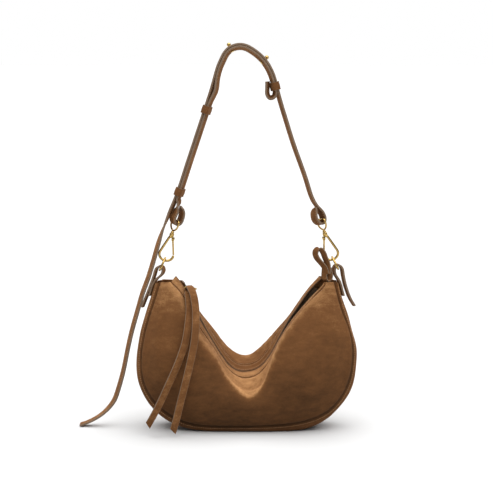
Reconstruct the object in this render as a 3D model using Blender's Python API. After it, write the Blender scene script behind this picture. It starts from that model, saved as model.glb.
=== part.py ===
"""Crescent hobo bag with a two-layer shoulder strap on swivel hooks.

Units are metres, +Z is up and the front faces -Y. The origin is on the
floor under the middle of the flat base. Outlines are listed in millimetres
from the bag's left tip to its right tip, as seen from the front.
"""
import math

import bmesh
import bpy
import numpy as np
from mathutils import Matrix, Vector

MM = 0.001
GAP = 0.0003            # air left between neighbouring solids

# body shell
PANEL_T = 0.0020        # suede panels
LINING_T = 0.0008
LINING_IN = 0.0055      # lining's outer face below the panels' outer face
LINING_SHRINK = 0.96    # and this much less deep, to stay clear of the folds
FACING_W = 0.012        # width of the strips along the zip
SEAM_GAP = 0.00055      # each panel stops this far short of the seam line
PILLOW = 0.16           # bulge of a panel, as a share of its height
GUSSET_FLAT = 4.0       # higher makes the gusset's section squarer
STATIONS = 31           # cross-sections from tip to tip
PANEL_N = 9             # steps across a panel, a facing and the gusset
FACING_N = 2
GUSSET_N = 7
FINE = 81               # steps while the folds are rounded off
ROUNDING = 16

# zip
TAPE_T = 0.0008
TAPE_W = 0.0090
TEETH_W = 0.0046
TEETH_T = 0.0016
SLIDER_L = 0.012
SLIDER_W = 0.0074
SLIDER_FROM = 0.0110    # slider's middle from the zip's left end
SLIDER_WALL = 0.0009
SLIDER_TOP = 0.0023
BAIL = [(-3.6, 1.7), (-3.6, 8.0), (-3.0, 11.2), (-1.2, 12.5), (1.2, 12.5), (3.0, 11.2),
        (3.6, 8.0), (3.6, 1.7)]
BAIL_R = 0.0010
BAIL_HOLE = 0.0092      # where the ring passes, above the teeth
STOP_T = 0.0022
PULL_R = 0.0055
PULL_WIRE = 0.0011

# strap and its hardware
STRAP_W = 0.0145
STRAP_T = 0.0028
KEEPER_H = 0.0115
KEEPER_T = 0.0016
KEEPER_ROOM = 0.0005
STUD_R = 0.0033
SCREW_R = 0.0014
TAB_W = 0.0130
TAB_T = 0.0020
END_TAB_W = 0.0092
END_TAB_T = 0.0015
RING_R = 0.0015         # wire radius of the D-rings
RING_HALF = 0.0088      # half the bar's length
BOW_R = 0.0016          # wire radius of the hooks
COLLAR_R = 0.0034
RING_TOP = 0.0039       # ring's top centre above the bow's bottom centre
POST_R = 0.0015
POST_HOLE_R = 0.0016
EAR_Y = 0.0024          # ears of the gate's hinge
EAR_T = 0.0012
EAR_SIZE = (0.0040, EAR_T, 0.0058)
EAR_RISE = 0.0011
HEAD_Y = 0.0014         # half the width of the gate's head
HEAD_R = 0.0018
GATE_R = 0.0013
GATE_PIVOT = (3.4, 0, -5.4)
GATE_TIP = (9.75, 0, -26.0)
EYE_TURN = math.radians(16)
TAIL_TURN = math.radians(-20)
TAIL_TURN_TOP = 0.318   # height under which the tail starts to turn
END_TURN_TOP = 0.326    # height under which a strap's end turns with its eye
END_TURN_FADE = 0.018
TOP_TURN = math.radians(6)
STRAP_BULGE = 0.0028    # the straps part a little above the middle keeper
STRAP_POINTS = 500
LONGEST_STEP = 0.0150
MOST_TURN = math.radians(12)
PIN_R = 0.00075
PIN_HOLE_R = 0.00084
TASSEL_W = 0.0115
TASSEL_T = 0.0018
TASSEL_SLANT = 0.55
LOOP_R = 0.0031         # the tassel's loop on the pull ring
LOOP_W = 0.0040
LOOP_T = 0.0014

SEAM = [(-122, -11, 211), (-129.5, -15, 186), (-138.8, -19, 157), (-146.3, -23, 125),
        (-148.8, -27, 95.5), (-143.4, -30, 66), (-130, -32, 43.4), (-110.6, -34, 26.5),
        (-77, -36, 12.5), (-41.5, -37.5, 9.5), (0, -38, 9.5), (35, -37.5, 10.5),
        (84, -35, 16.7), (114.3, -33, 29.7), (136, -31, 53.8), (146.3, -29, 79.5),
        (150, -25, 114), (143, -20, 151), (134.3, -16, 172.3), (128.3, -13, 194),
        (124, -11, 211.5)]
KEEL = [(-129, 0, 208), (-137, 0, 183.5), (-144.5, 0, 161), (-154.5, 0, 118),
        (-156.3, 0, 97), (-155, 0, 75), (-148, 0, 53), (-135, 0, 32), (-119, 0, 17),
        (-94, 0, 4), (-64, 0, -2), (0, 0, -3), (66, 0, -2), (92, 0, 3), (117, 0, 17),
        (133, 0, 33), (147, 0, 53), (154, 0, 75), (156.3, 0, 97), (156, 0, 118),
        (150, 0, 140), (144.5, 0, 161), (136.5, 0, 184), (130, 0, 208)]
CREASE = [(-106, -12, 211.5), (-99.4, -16, 202), (-93.5, -20, 193), (-82.7, -27, 168),
          (-65, -34, 134), (-43, -40, 108), (-29, -43, 83.5), (-17, -45, 69.6),
          (-6, -46, 59), (4, -46, 53.5), (12, -46, 57), (20, -45, 66.5), (27, -43, 81),
          (36, -38, 107), (51.5, -31, 138), (75, -22, 168), (92, -16, 189), (109.9, -10, 211)]
FRONT_LIP = [(-99.6, -5, 218.6), (-92.3, -4.2, 209), (-79.2, -3.4, 183.4), (-66, -2.6, 155),
             (-50, -1.8, 125.4), (-34, -1.6, 99.5), (-21, -1.5, 84.5), (-11, -1.5, 79.5),
             (0, -1.5, 78.8), (15.6, -1.5, 83.4), (25, -1.6, 91), (41, -1.8, 115.5),
             (62, -2.2, 152), (77, -2.5, 171.5), (94, -3, 191), (112, -3, 207)]
BACK_LIP = [(-88, 4, 208), (-78, 2.5, 184.5), (-65, 2, 156.5), (-49, 1.8, 127),
            (-33, 1.6, 101.5), (-20.5, 1.5, 87), (-11, 1.5, 82.3), (0, 1.5, 81.6),
            (15.6, 1.5, 86), (24.6, 1.6, 93.2), (40, 1.8, 117), (60, 2.5, 154.5),
            (74, 4, 175), (89, 5, 196), (105.5, 5, 213)]
RIDGE = [(-91, 10, 210), (-79.5, 18, 187), (-65, 24, 162.8), (-45.2, 28, 138.2),
         (-32.5, 30, 121.5), (-20, 31, 108.3), (-9, 32, 101), (-2, 32, 99.6), (5.5, 32, 101.2),
         (15, 31, 108.6), (26.8, 30, 121), (40.5, 28, 138), (61.5, 26, 161),
         (77, 21, 184), (103, 10, 216.5)]
ZIP = [(-95.2, 0, 205.6), (-83.2, 0, 179.5), (-71.3, 0, 153.6), (-55.4, 0, 122.5),
       (-39, 0, 95), (-24, 0, 80), (-11, 0, 74.5), (0, 0, 73.7), (17, 0, 77.6),
       (29.5, 0, 86.5), (46.5, 0, 112), (67, 0, 147.5), (81, 0, 167), (98, 0, 187),
       (112, 0, 200)]

# the long strap: right eye, over the top, down the left, loose tail to the floor
LONG_STRAP = [(91.6, 313.2), (90.8, 306.1), (93.4, 298), (99.4, 293), (106, 292.3),
              (110.0, 297.3), (108.7, 304.7), (102.4, 313.2), (94.6, 323), (87.6, 339.9),
              (83.3, 354), (73.3, 382), (63.4, 409.9), (54.6, 437.7), (46.1, 465.4),
              (41.6, 482), (36.8, 499), (30, 513), (21, 524.5), (9, 534.1), (-0.7, 539.2),
              (-9, 540.6), (-17.3, 539.2), (-25.2, 534.8), (-30.8, 528), (-34.8, 520),
              (-38.8, 510.8), (-42.2, 499.9), (-48.5, 478), (-52.6, 465.4), (-57, 452.2),
              (-67.1, 422), (-76.5, 394), (-85.8, 366), (-94.9, 338.8), (-99, 328),
              (-103.6, 317), (-108.3, 306.5), (-112.8, 296), (-118.4, 282), (-122.8, 269),
              (-127, 255), (-131, 240.8), (-135.4, 226.5), (-140.2, 212), (-145.6, 197.8),
              (-150.4, 183), (-154.4, 169), (-158.6, 154.6), (-162.7, 140), (-169.5, 111),
              (-175.6, 82), (-183.8, 52.7), (-189, 39), (-194.5, 30.5), (-201, 23.3),
              (-209.5, 16), (-221, 9), (-232, 4.2), (-238.5, 2.2)]
# the short strap's own ends; between them it runs under the long strap
SHORT_LOW = [(-87.4, 313.6), (-86.2, 306), (-88.4, 297.2), (-94.5, 291.6),
             (-101.2, 292), (-104.8, 297.2), (-103, 304.5), (-98.2, 313.2), (-94.4, 323)]
SHORT_FOLD = [(39.5, 474.0), (37.0, 470.6), (33.0, 470.6), (30.4, 474.2), (29.5, 481),
              (29.1, 491)]
SHORT_FROM = 328.0      # height where the short strap meets the long one, left
SHORT_TO = 477.0        # height where it leaves it, right

# hardware places, in mm in the front view
HOOK_L = ((-115.5, 240.0), (-105.5, 275.5))
HOOK_R = ((121.9, 241.4), (110.8, 276.6))
BAR_L = (-122.2, 227.4)
BAR_R = (129.0, 229.2)
TAB_L = [(-136.7, 190), (-133.5, 200), (-130.6, 208), (-125.8, 214.6), (-119.9, 219.8),
         (-117.2, 225.3), (-118.6, 230.4), (-122.8, 231.7), (-126.8, 228.4), (-129, 222),
         (-131.9, 213), (-135.6, 203), (-139.6, 193), (-143.7, 183), (-147.5, 173.5)]
TAB_R = [(136.5, 190), (133.8, 200), (131.7, 208), (128.4, 214.6), (124.8, 220.4),
         (123.4, 226.7), (125.4, 232.1), (129.6, 233.6), (133.6, 230.4), (135.4, 223.5),
         (136.9, 215), (138.9, 206.5), (141.9, 197), (145.8, 187), (152.6, 175.5)]
END_LOOP = [(111.2, 229.6), (104.6, 238), (97.2, 248.4), (97.2, 254.6), (101.6, 258),
            (106.2, 254.8), (110.2, 246), (114, 238), (114.8, 231.6)]
END_CLIP = [(112.8, 226.6), (116.0, 222.6), (116.8, 217.6), (114.6, 213.9),
            (111.4, 215.2), (110, 220), (110.6, 224.6)]
TASSEL_L = [(-81.5, -13.5, 200), (-79.5, -23, 187), (-80, -33, 168), (-82, -44, 150),
            (-85, -50.5, 133), (-91.5, -56.5, 113), (-100, -59.5, 92.5), (-109.5, -60.5, 72),
            (-119, -60, 51), (-127.5, -58, 34), (-140.5, -53, 10)]
TASSEL_R = [(-76.5, -17.5, 200.5), (-72.4, -27, 190), (-70.2, -38, 168), (-71, -47.5, 146),
            (-73.5, -54, 126), (-78, -60, 105), (-83, -62.5, 84), (-88.6, -63, 62),
            (-94, -62, 40), (-99, -60, 20), (-104.5, -57, 2.5)]
KEEPERS = ((-95.3, 337.5), (-57, 452.2), (40.9, 484.6))     # near the long strap
STUDS = ((-21.5, 537.3), (24.3, 520.2))

# hook and eye outlines, mm from the middle of the collar
BOW = [(-2.2, -2.4), (-3.4, -6), (-6.0, -14), (-9.0, -23.5), (-9.9, -28.6), (-7.8, -33.4),
       (-3.6, -36.2), (0, -36.9), (3.6, -36.2), (7.8, -33.4), (9.8, -29.4), (9.8, -26.6)]
EYE = [(0, 7.6), (2.6, 8.2), (6.4, 10.4), (9.2, 14), (9.8, 17.4), (9.6, 20.8), (7.8, 22.5),
       (0, 22.6), (-7.8, 22.5), (-9.6, 20.8), (-9.8, 17.4), (-9.2, 14), (-6.4, 10.4),
       (-2.6, 8.2), (0, 7.6)]
EYE_R = 0.0013

SUEDE = ("suede", (0.40, 0.25, 0.14), 0.0, 0.95)
SUEDE_DARK = ("suede_dark", (0.25, 0.15, 0.09), 0.0, 0.95)
GOLD = ("pale_gold", (0.86, 0.74, 0.45), 1.0, 0.2)
TAPE = ("zip_tape", (0.10, 0.07, 0.05), 0.0, 0.9)
LINING = ("lining", (0.30, 0.24, 0.18), 0.0, 0.9)


def clear_scene():
    for obj in list(bpy.data.objects):
        bpy.data.objects.remove(obj, do_unlink=True)


def material(spec):
    name, colour, metallic, rough = spec
    mat = bpy.data.materials.get(name)
    if mat is None:
        mat = bpy.data.materials.new(name)
        mat.use_nodes = True
        shader = mat.node_tree.nodes["Principled BSDF"]
        shader.inputs["Base Color"].default_value = (*colour, 1.0)
        shader.inputs["Metallic"].default_value = metallic
        shader.inputs["Roughness"].default_value = rough
    return mat


def add_object(name, verts, faces, spec, place=None, smooth=True):
    """One closed mesh; verts are in the frame of place, or in the world."""
    mesh = bpy.data.meshes.new(name)
    mesh.from_pydata([tuple(v) for v in verts], [], faces)
    bm = bmesh.new()
    bm.from_mesh(mesh)
    bmesh.ops.recalc_face_normals(bm, faces=bm.faces)
    bm.to_mesh(mesh)
    bm.free()
    for poly in mesh.polygons:
        poly.use_smooth = smooth
    mesh.materials.append(material(spec))
    obj = bpy.data.objects.new(name, mesh)
    if place is not None:
        obj.matrix_world = place
    bpy.context.collection.objects.link(obj)
    return obj


def curve_through(points, count):
    """Natural cubic spline through points, at count even steps of length."""
    pts = np.asarray(points, float)
    t = np.concatenate([[0], np.cumsum(np.linalg.norm(np.diff(pts, axis=0), axis=1))])
    n = len(t)
    h = np.diff(t)
    system = np.eye(n)
    right = np.zeros_like(pts)
    for i in range(1, n - 1):
        system[i, i - 1:i + 2] = h[i - 1], 2 * (h[i - 1] + h[i]), h[i]
        right[i] = 6 * ((pts[i + 1] - pts[i]) / h[i] - (pts[i] - pts[i - 1]) / h[i - 1])
    bend = np.linalg.solve(system, right)
    at = np.linspace(0, t[-1], count)
    k = np.clip(np.searchsorted(t, at) - 1, 0, n - 2)
    a = ((t[k + 1] - at) / h[k])[:, None]
    b = ((at - t[k]) / h[k])[:, None]
    step = h[k][:, None] ** 2 / 6
    return (a * pts[k] + b * pts[k + 1]
            + ((a ** 3 - a) * bend[k] + (b ** 3 - b) * bend[k + 1]) * step)


def in_metres(points):
    return np.asarray(points, float) * MM


def flat_points(points, y=0.0):
    """Front-view (x, z) points in mm, as 3-D points in metres."""
    pts = in_metres(points)
    return np.column_stack([pts[:, 0], np.full(len(pts), y), pts[:, 1]])


def unit(v):
    return v / np.linalg.norm(v, axis=-1, keepdims=True)


def resample(line, want):
    """Points of a polyline at the wanted distances along it."""
    at = np.concatenate([[0], np.cumsum(np.linalg.norm(np.diff(line, axis=0), axis=1))])
    want = np.asarray(want) * at[-1]
    return np.column_stack([np.interp(want, at, line[:, k]) for k in range(3)])


def across(rails, panel_n, facing_n):
    """Points across the panel through the rails, with the folds rounded off.

    The last facing_n steps cover the strip along the zip.
    """
    line = np.stack(rails, axis=1)
    fine = np.stack([resample(row, np.linspace(0, 1, FINE)) for row in line])
    for _ in range(ROUNDING):
        fine[:, 1:-1] = (fine[:, :-2] + 2 * fine[:, 1:-1] + fine[:, 2:]) / 4
    out = []
    for row in fine:
        length = np.linalg.norm(np.diff(row, axis=0), axis=1).sum()
        split = 1 - min(FACING_W / length, 0.4)
        want = np.concatenate([np.linspace(0, split, panel_n + 1),
                               np.linspace(split, 1, facing_n + 1)[1:]])
        out.append(resample(row, want))
    return np.stack(out)


def half_shell(seam, fold, lip):
    """One panel with its facing, from the seam over the fold to the lip."""
    side = np.sign(seam[:, 1:2])
    height = np.linalg.norm(seam - fold, axis=1, keepdims=True)
    out = np.concatenate([0 * side, side, 0 * side], axis=1) * height * PILLOW
    low = seam * 0.7 + fold * 0.3 + out * 0.84
    mid = seam * 0.35 + fold * 0.65 + out * 0.91
    return across([seam, low, mid, fold, lip], PANEL_N, FACING_N)


def gusset_shell(seam, keel, count):
    """The strip round the bottom, from the back seam to the front seam."""
    q = np.linspace(1, -1, count)
    fill = np.clip(1 - np.abs(q) ** GUSSET_FLAT, 0, 1) ** 0.6
    out = np.empty((len(seam), count, 3))
    for axis in (0, 2):
        low = seam[:, axis:axis + 1]
        out[:, :, axis] = low + (keel[:, axis:axis + 1] - low) * fill
    out[:, :, 1] = -seam[:, 1:2] * q
    out[:, :, 2] = np.maximum(out[:, :, 2], 0.0)
    return out


def body_surface(count=STATIONS):
    """Closed tube of points round the bag: front, back and gusset in turn."""
    seam = curve_through(in_metres(SEAM), count)
    keel = curve_through(in_metres(KEEL), count)
    crease = curve_through(in_metres(CREASE), count)
    ridge = curve_through(in_metres(RIDGE), count)
    front_lip = curve_through(in_metres(FRONT_LIP), count)
    back_lip = curve_through(in_metres(BACK_LIP), count)
    back_seam = seam * np.array([1, -1, 1])
    front = half_shell(seam, crease, front_lip)
    back = half_shell(back_seam, ridge, back_lip)[:, ::-1]
    gusset = gusset_shell(seam, keel, GUSSET_N)
    return front, back, gusset


def tube_normals(tube):
    """Outward normals of the closed tube of points."""
    along = np.gradient(tube, axis=0)
    around = np.roll(tube, -1, axis=1) - np.roll(tube, 1, axis=1)
    return unit(np.cross(along, around))


def trim(grid, axis, low, high):
    """Move the grid's first and last lines inwards by low and high."""
    g = np.moveaxis(grid.copy(), axis, 0)
    if low:
        g[0] += unit(g[1] - g[0]) * low
    if high:
        g[-1] += unit(g[-2] - g[-1]) * high
    return np.moveaxis(g, 0, axis)


def slab(name, outer, inner, spec):
    """Closed solid between two matching grids of points."""
    rows, cols = outer.shape[:2]
    verts = np.concatenate([outer.reshape(-1, 3), inner.reshape(-1, 3)])
    shift = rows * cols
    faces = []
    for i in range(rows - 1):
        for j in range(cols - 1):
            a = i * cols + j
            quad = (a, a + 1, a + cols + 1, a + cols)
            faces.append(quad)
            faces.append(tuple(k + shift for k in reversed(quad)))
    ring = [(0, j) for j in range(cols)]
    ring += [(i, cols - 1) for i in range(1, rows)]
    ring += [(rows - 1, j) for j in range(cols - 2, -1, -1)]
    ring += [(i, 0) for i in range(rows - 2, 0, -1)]
    edge = [i * cols + j for i, j in ring]
    for a, b in zip(edge, edge[1:] + edge[:1]):
        faces.append((b, a, a + shift, b + shift))
    return add_object(name, verts, faces, spec)


def shell_piece(name, surface, normals, thick, spec, sides=(1, 1), depth=0.0):
    """A sheet below part of the tube, trimmed where it meets a neighbour."""
    top = surface - normals * depth
    bottom = surface - normals * (depth + thick)
    low, high = (SEAM_GAP * s for s in sides)
    return slab(name, trim(top, 1, low, high), trim(bottom, 1, low, high), spec)


def build_body():
    """Panels, facings, gusset, end flaps and lining."""
    front, back, gusset = body_surface()
    nf, nb = front.shape[1], back.shape[1]
    tube = np.concatenate([front, back, gusset[:, 1:-1]], axis=1)
    normals = tube_normals(tube)
    split = PANEL_N
    pick = range(0, split + 1)
    shell_piece("front_panel", tube[:, pick], normals[:, pick], PANEL_T, SUEDE)
    pick = range(split, nf)
    shell_piece("front_facing", tube[:, pick], normals[:, pick], PANEL_T, SUEDE, (1, 0))
    pick = range(nf, nf + nb - split)
    shell_piece("back_facing", tube[:, pick], normals[:, pick], PANEL_T, SUEDE, (0, 1))
    pick = range(nf + nb - split - 1, nf + nb)
    shell_piece("back_panel", tube[:, pick], normals[:, pick], PANEL_T, SUEDE)
    total = tube.shape[1]
    pick = list(range(nf + nb - 1, total)) + [0]
    shell_piece("gusset", tube[:, pick], normals[:, pick], PANEL_T, SUEDE)
    build_lining(tube, normals, nf, nb, split)
    for name, row in (("end_flap_left", 0), ("end_flap_right", len(tube) - 1)):
        build_end_flap(name, tube, normals, row)


def build_lining(tube, normals, nf, nb, split):
    """One open-topped sheet just inside the panels and the gusset."""
    total = tube.shape[1]
    pick = list(range(nf + nb - split - 1, total)) + list(range(0, split + 1))
    rows = range(2, len(tube) - 2)
    surface = tube[np.ix_(rows, pick)] * np.array([1, LINING_SHRINK, 1])
    normal = normals[np.ix_(rows, pick)]
    shell_piece("lining", surface, normal, LINING_T, LINING, (4, 4), LINING_IN)


def build_end_flap(name, tube, normals, row):
    """Closes the tip between the panels, just below their top edges."""
    inward = 1 if row == 0 else -1
    near = tube[row] * 0.6 + tube[row + inward] * 0.4
    loop = near - normals[row] * (PANEL_T + 2.4 * GAP)
    loop = np.delete(loop, slice(PANEL_N - 1, PANEL_N + 2 * FACING_N + 4), axis=0)
    middle = loop.mean(axis=0)
    step = unit(tube[row + inward].mean(axis=0) - tube[row].mean(axis=0)) * 0.0015
    loop = middle + (loop - middle) * 0.80
    n = len(loop)
    verts = np.concatenate([loop, loop + step, [middle], [middle + step]])
    faces = []
    for i in range(n):
        j = (i + 1) % n
        faces.append((i, j, 2 * n))
        faces.append((j + n, i + n, 2 * n + 1))
        faces.append((j, i, i + n, j + n))
    return add_object(name, verts, faces, SUEDE_DARK)


def frame(at, z_dir, y_dir=(0, 1, 0)):
    """Placing matrix with its own Z along z_dir and its own Y near y_dir."""
    z = Vector(z_dir).normalized()
    x = Vector(y_dir).cross(z).normalized()
    turn = Matrix((x, z.cross(x), z)).transposed()
    return Matrix.Translation(Vector(at)) @ turn.to_4x4()


def tangents(path, closed=False):
    if closed:
        return unit(np.roll(path, -1, axis=0) - np.roll(path, 1, axis=0))
    return unit(np.gradient(path, axis=0))


def sweep(name, path, wide, section, spec, place=None, closed=False):
    """Solid swept along a path; section is (across, outward) points."""
    t = tangents(path, closed)
    out = unit(np.cross(t, np.broadcast_to(wide, path.shape)))
    w = unit(np.cross(out, t))
    rows, n = len(path), len(section)
    verts = [path[i] + w[i] * a + out[i] * b for i in range(rows) for a, b in section]
    faces = []
    for i in range(rows if closed else rows - 1):
        k = (i + 1) % rows
        for j in range(n):
            m = (j + 1) % n
            faces.append((i * n + j, i * n + m, k * n + m, k * n + j))
    if not closed:
        faces.append(tuple(range(n - 1, -1, -1)))
        faces.append(tuple((rows - 1) * n + j for j in range(n)))
    return add_object(name, verts, faces, spec, place)


def strip_section(width, thick):
    """A flat strip, cut square."""
    w, t = width / 2, thick / 2
    return [(-w, -t), (w, -t), (w, t), (-w, t)]


def round_section(radius, sides=8):
    step = 2 * math.pi / sides
    return [(radius * math.cos(step * k), radius * math.sin(step * k)) for k in range(sides)]


def turned(name, profile, spec, place, sides=20):
    """Solid turned about its own Z from (radius, height) points."""
    verts, rings = [], []
    for r, z in profile:
        if r == 0:
            rings.append([len(verts)])
            verts.append((0, 0, z))
            continue
        rings.append(list(range(len(verts), len(verts) + sides)))
        for k in range(sides):
            a = 2 * math.pi * k / sides
            verts.append((r * math.cos(a), r * math.sin(a), z))
    faces = []
    for low, high in zip(rings, rings[1:]):
        for k in range(sides):
            m = (k + 1) % sides
            quad = [low[k % len(low)], low[m % len(low)], high[m % len(high)], high[k % len(high)]]
            faces.append(tuple(dict.fromkeys(quad)))
    return add_object(name, verts, faces, spec, place)


def rod(name, radius, low, high, spec, place, sides=16):
    return turned(name, [(0, low), (radius, low), (radius, high), (0, high)], spec, place, sides)


def combine(base, tool, operation):
    """Join a tool to the base, or cut it away, and leave the tool as a guide."""
    tool.hide_render = True
    tool.display_type = "WIRE"
    mod = base.modifiers.new(operation.lower(), "BOOLEAN")
    mod.operation = operation
    mod.solver = "EXACT"
    mod.object = tool


def build_zip():
    """Two tapes, the closed chain of teeth, two stops, the slider and its ring."""
    line = curve_through(in_metres(ZIP), STATIONS)
    front, back, _ = body_surface()
    along = tangents(line)
    for name, shell, side in (("zip_tape_front", front, 1), ("zip_tape_back", back, -1)):
        lip, inner = (shell[:, -1], shell[:, -4]) if side > 0 else (shell[:, 0], shell[:, 3])
        lateral = inner - lip
        lateral = unit(lateral - along * (lateral * along).sum(axis=1, keepdims=True))
        reach = np.array([TEETH_W / 2 + 2 * GAP, TAPE_W / 2, TAPE_W])
        rows = slice(1, -1)
        top = (line[:, None] + lateral[:, None] * reach[None, :, None])[rows]
        down = unit(np.cross(along, lateral))[rows, None] * side * TAPE_T / 2
        slab(name, top - down, top + down, TAPE)
    fine = curve_through(in_metres(ZIP), 36)
    wide = np.array([0, 1, 0])
    sweep("zip_teeth", fine[1:-1], wide, strip_section(TEETH_W, TEETH_T), GOLD)
    stop = strip_section(TEETH_W, STOP_T)
    for name, end, inner in (("zip_stop_left", 0, 1), ("zip_stop_right", -1, -2)):
        path = np.linspace(fine[end], fine[inner] - unit(fine[inner] - fine[end]) * GAP, 3)
        sweep(name, path, wide, stop, GOLD)


def slider_place():
    """The slider's frame: its own X along the zip, its own Z outward."""
    start, end = (Vector((x * MM, 0, z * MM)) for x, _, z in (ZIP[0], ZIP[2]))
    travel = (end - start).normalized()
    out = Vector((-travel.z, 0, travel.x))
    at = start + travel * SLIDER_FROM
    return Matrix.Translation(at) @ Matrix((travel, out.cross(travel), out)).transposed().to_4x4()


def build_slider():
    """A saddle over the teeth with an arched bail, and the ring through it."""
    place = slider_place()
    w, low, foot = SLIDER_W / 2, TEETH_T / 2 + GAP, TAPE_T / 2 + GAP
    rib = w - SLIDER_WALL
    profile = [(-w, foot), (-rib, foot), (-rib, low + GAP), (rib, low + GAP), (rib, foot),
               (w, foot), (w, SLIDER_TOP), (-w, SLIDER_TOP)]
    path = np.array([[-SLIDER_L / 2, 0, 0], [0, 0, 0], [SLIDER_L / 2, 0, 0]])
    slider = sweep("zip_slider", path, np.array([0, 1, 0]), profile, GOLD, place)
    path = curve_through(flat_points(BAIL), 17)
    bail = sweep("bail_join", path, np.array([0, 1, 0]), round_section(BAIL_R), GOLD, place)
    combine(slider, bail, "UNION")
    hole = place @ Vector((0, 0, BAIL_HOLE))
    centre = hole + Vector((PULL_R, 0, 0))
    loop = hoop(PULL_R, 20)
    sweep("pull_ring", loop, np.array([0, 0, 1]), round_section(PULL_WIRE), GOLD,
          Matrix.Translation(centre), closed=True)
    return centre + Vector((0, -PULL_R, 0))


def hoop(radius, count):
    angle = np.arange(count) * 2 * math.pi / count
    return np.column_stack([radius * np.cos(angle), radius * np.sin(angle), 0 * angle])


def build_tassel(pivot):
    """A small loop on the ring and the two strips that hang from it."""
    place = Matrix.Translation(pivot)
    loop = hoop(LOOP_R, 20)[:, [2, 0, 1]]
    sweep("tassel_loop", loop, np.array([1, 0, 0]), strip_section(LOOP_W, LOOP_T),
          SUEDE_DARK, place, closed=True)
    for name, points, lean in (("tassel_left", TASSEL_L, 0.22), ("tassel_right", TASSEL_R, 0.12)):
        path = curve_through(in_metres(points), 25) - np.array(pivot)
        t = tangents(path)
        wide = unit(np.cross(t, np.array([lean, -1, 0.0])))
        strip = sweep(name, path, wide, strip_section(TASSEL_W, TASSEL_T), SUEDE, place)
        tip = path[-1] + np.array(pivot)
        cut = add_object(name + "_cut", *wedge(tip, t[-1], wide[-1]), SUEDE)
        combine(strip, cut, "DIFFERENCE")


def wedge(tip, along, wide):
    """A block that cuts the end of a strip at a slant."""
    slant = unit(along * 0.75 + wide * TASSEL_SLANT)
    side = np.cross(along, wide)
    edge = unit(np.cross(slant, side)) * 0.03
    base = tip - along * 0.007
    corners = [base + edge * i + side * j * 0.01 + slant * k * 0.04
               for k in (0, 1) for j in (-1, 1) for i in (-1, 1)]
    return corners, [(0, 1, 3, 2), (4, 6, 7, 5), (0, 4, 5, 1), (2, 3, 7, 6), (0, 2, 6, 4),
                     (1, 5, 7, 3)]


def build_tabs():
    """Leather tabs round the D-rings, and the two loops on the zip's end."""
    wide = np.array([0, 1, 0])
    for name, points in (("ring_tab_left", TAB_L), ("ring_tab_right", TAB_R)):
        path = curve_through(flat_points(points), 36)
        sweep(name, path, wide, strip_section(TAB_W, TAB_T), SUEDE)
    for name, points, y, count in (("end_tab_loop", END_LOOP, -0.0108, 26),
                                   ("end_tab_clip", END_CLIP, -0.0050, 18)):
        path = curve_through(flat_points(points, y), count)
        sweep(name, path, wide, strip_section(END_TAB_W, END_TAB_T), SUEDE)


def build_ring(name, bar, hook):
    """A D-ring: a straight bar along Y in the tab, and a round bow above it."""
    bottom, collar = (Vector((x * MM, 0, z * MM)) for x, z in hook)
    top = bottom + (collar - bottom).normalized() * RING_TOP
    base = Vector((bar[0] * MM, 0, bar[1] * MM))
    height = (top - base).length
    half = RING_HALF
    outline = [(-half, 0.0006), (-half + 0.0016, 0), (0, 0), (half - 0.0016, 0), (half, 0.0006),
               (half + 0.0010, 0.0024), (half + 0.0008, height * 0.45),
               (half * 0.78, height * 0.80), (half * 0.42, height * 0.955), (0, height),
               (-half * 0.42, height * 0.955), (-half * 0.78, height * 0.80),
               (-half - 0.0008, height * 0.45), (-half - 0.0010, 0.0024), (-half, 0.0006)]
    path = curve_through([(0, y, z) for y, z in outline], 29)[:-1]
    place = frame(base, top - base)
    sweep(name, path, np.array([1, 0, 0]), round_section(RING_R), GOLD, place, closed=True)


def build_hook(side, hook, inward):
    """Swivel hook: bow with collar and ears, sprung gate, its pin and the eye.

    The hook's own Z runs from the bow up to the strap, from the collar's middle.
    """
    bottom, collar = (Vector((x * MM, 0, z * MM)) for x, z in hook)
    place = frame(collar, collar - bottom)
    wide = np.array([0, 1, 0])
    path = curve_through([(x * MM * inward, 0, z * MM) for x, z in BOW], 26)
    body = sweep("hook_" + side, path, wide, round_section(BOW_R), GOLD, place)
    shell = [(0, -0.0032), (COLLAR_R, -0.0032), (COLLAR_R, 0.0030), (0.0029, 0.0035),
             (POST_HOLE_R, 0.0035), (POST_HOLE_R, -0.0010), (0, -0.0010)]
    combine(body, turned("collar_join_" + side, shell, GOLD, place), "UNION")
    mirror = Vector((inward, 1, 1))
    pivot = Vector(GATE_PIVOT) * mirror * MM
    for k in (-1, 1):
        ear = place @ Matrix.Translation(pivot + Vector((0, k * EAR_Y, EAR_RISE)))
        block = box("ear_join_%s_%d" % (side, k), EAR_SIZE, ear)
        combine(body, block, "UNION")
    pin_place = place @ Matrix.Translation(pivot) @ Matrix.Rotation(math.pi / 2, 4, "X")
    reach = EAR_Y + EAR_T / 2
    hole = rod("pin_hole_" + side, PIN_HOLE_R, -0.006, 0.006, GOLD, pin_place)
    combine(body, hole, "DIFFERENCE")
    rod("gate_pin_" + side, PIN_R, -reach, reach, GOLD, pin_place)
    head = rod("hook_gate_" + side, HEAD_R, -HEAD_Y, HEAD_Y, GOLD, pin_place)
    end = Vector(GATE_TIP) * mirror * MM - pivot
    bar = frame(pin_place.translation, place.to_3x3() @ end)
    length = end.length
    arm = turned("gate_join_" + side, [(0, 0), (GATE_R, 0), (GATE_R, length), (0, length)],
                 GOLD, bar, 12)
    combine(head, arm, "UNION")
    combine(head, hole, "DIFFERENCE")
    build_eye(side, place)


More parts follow.
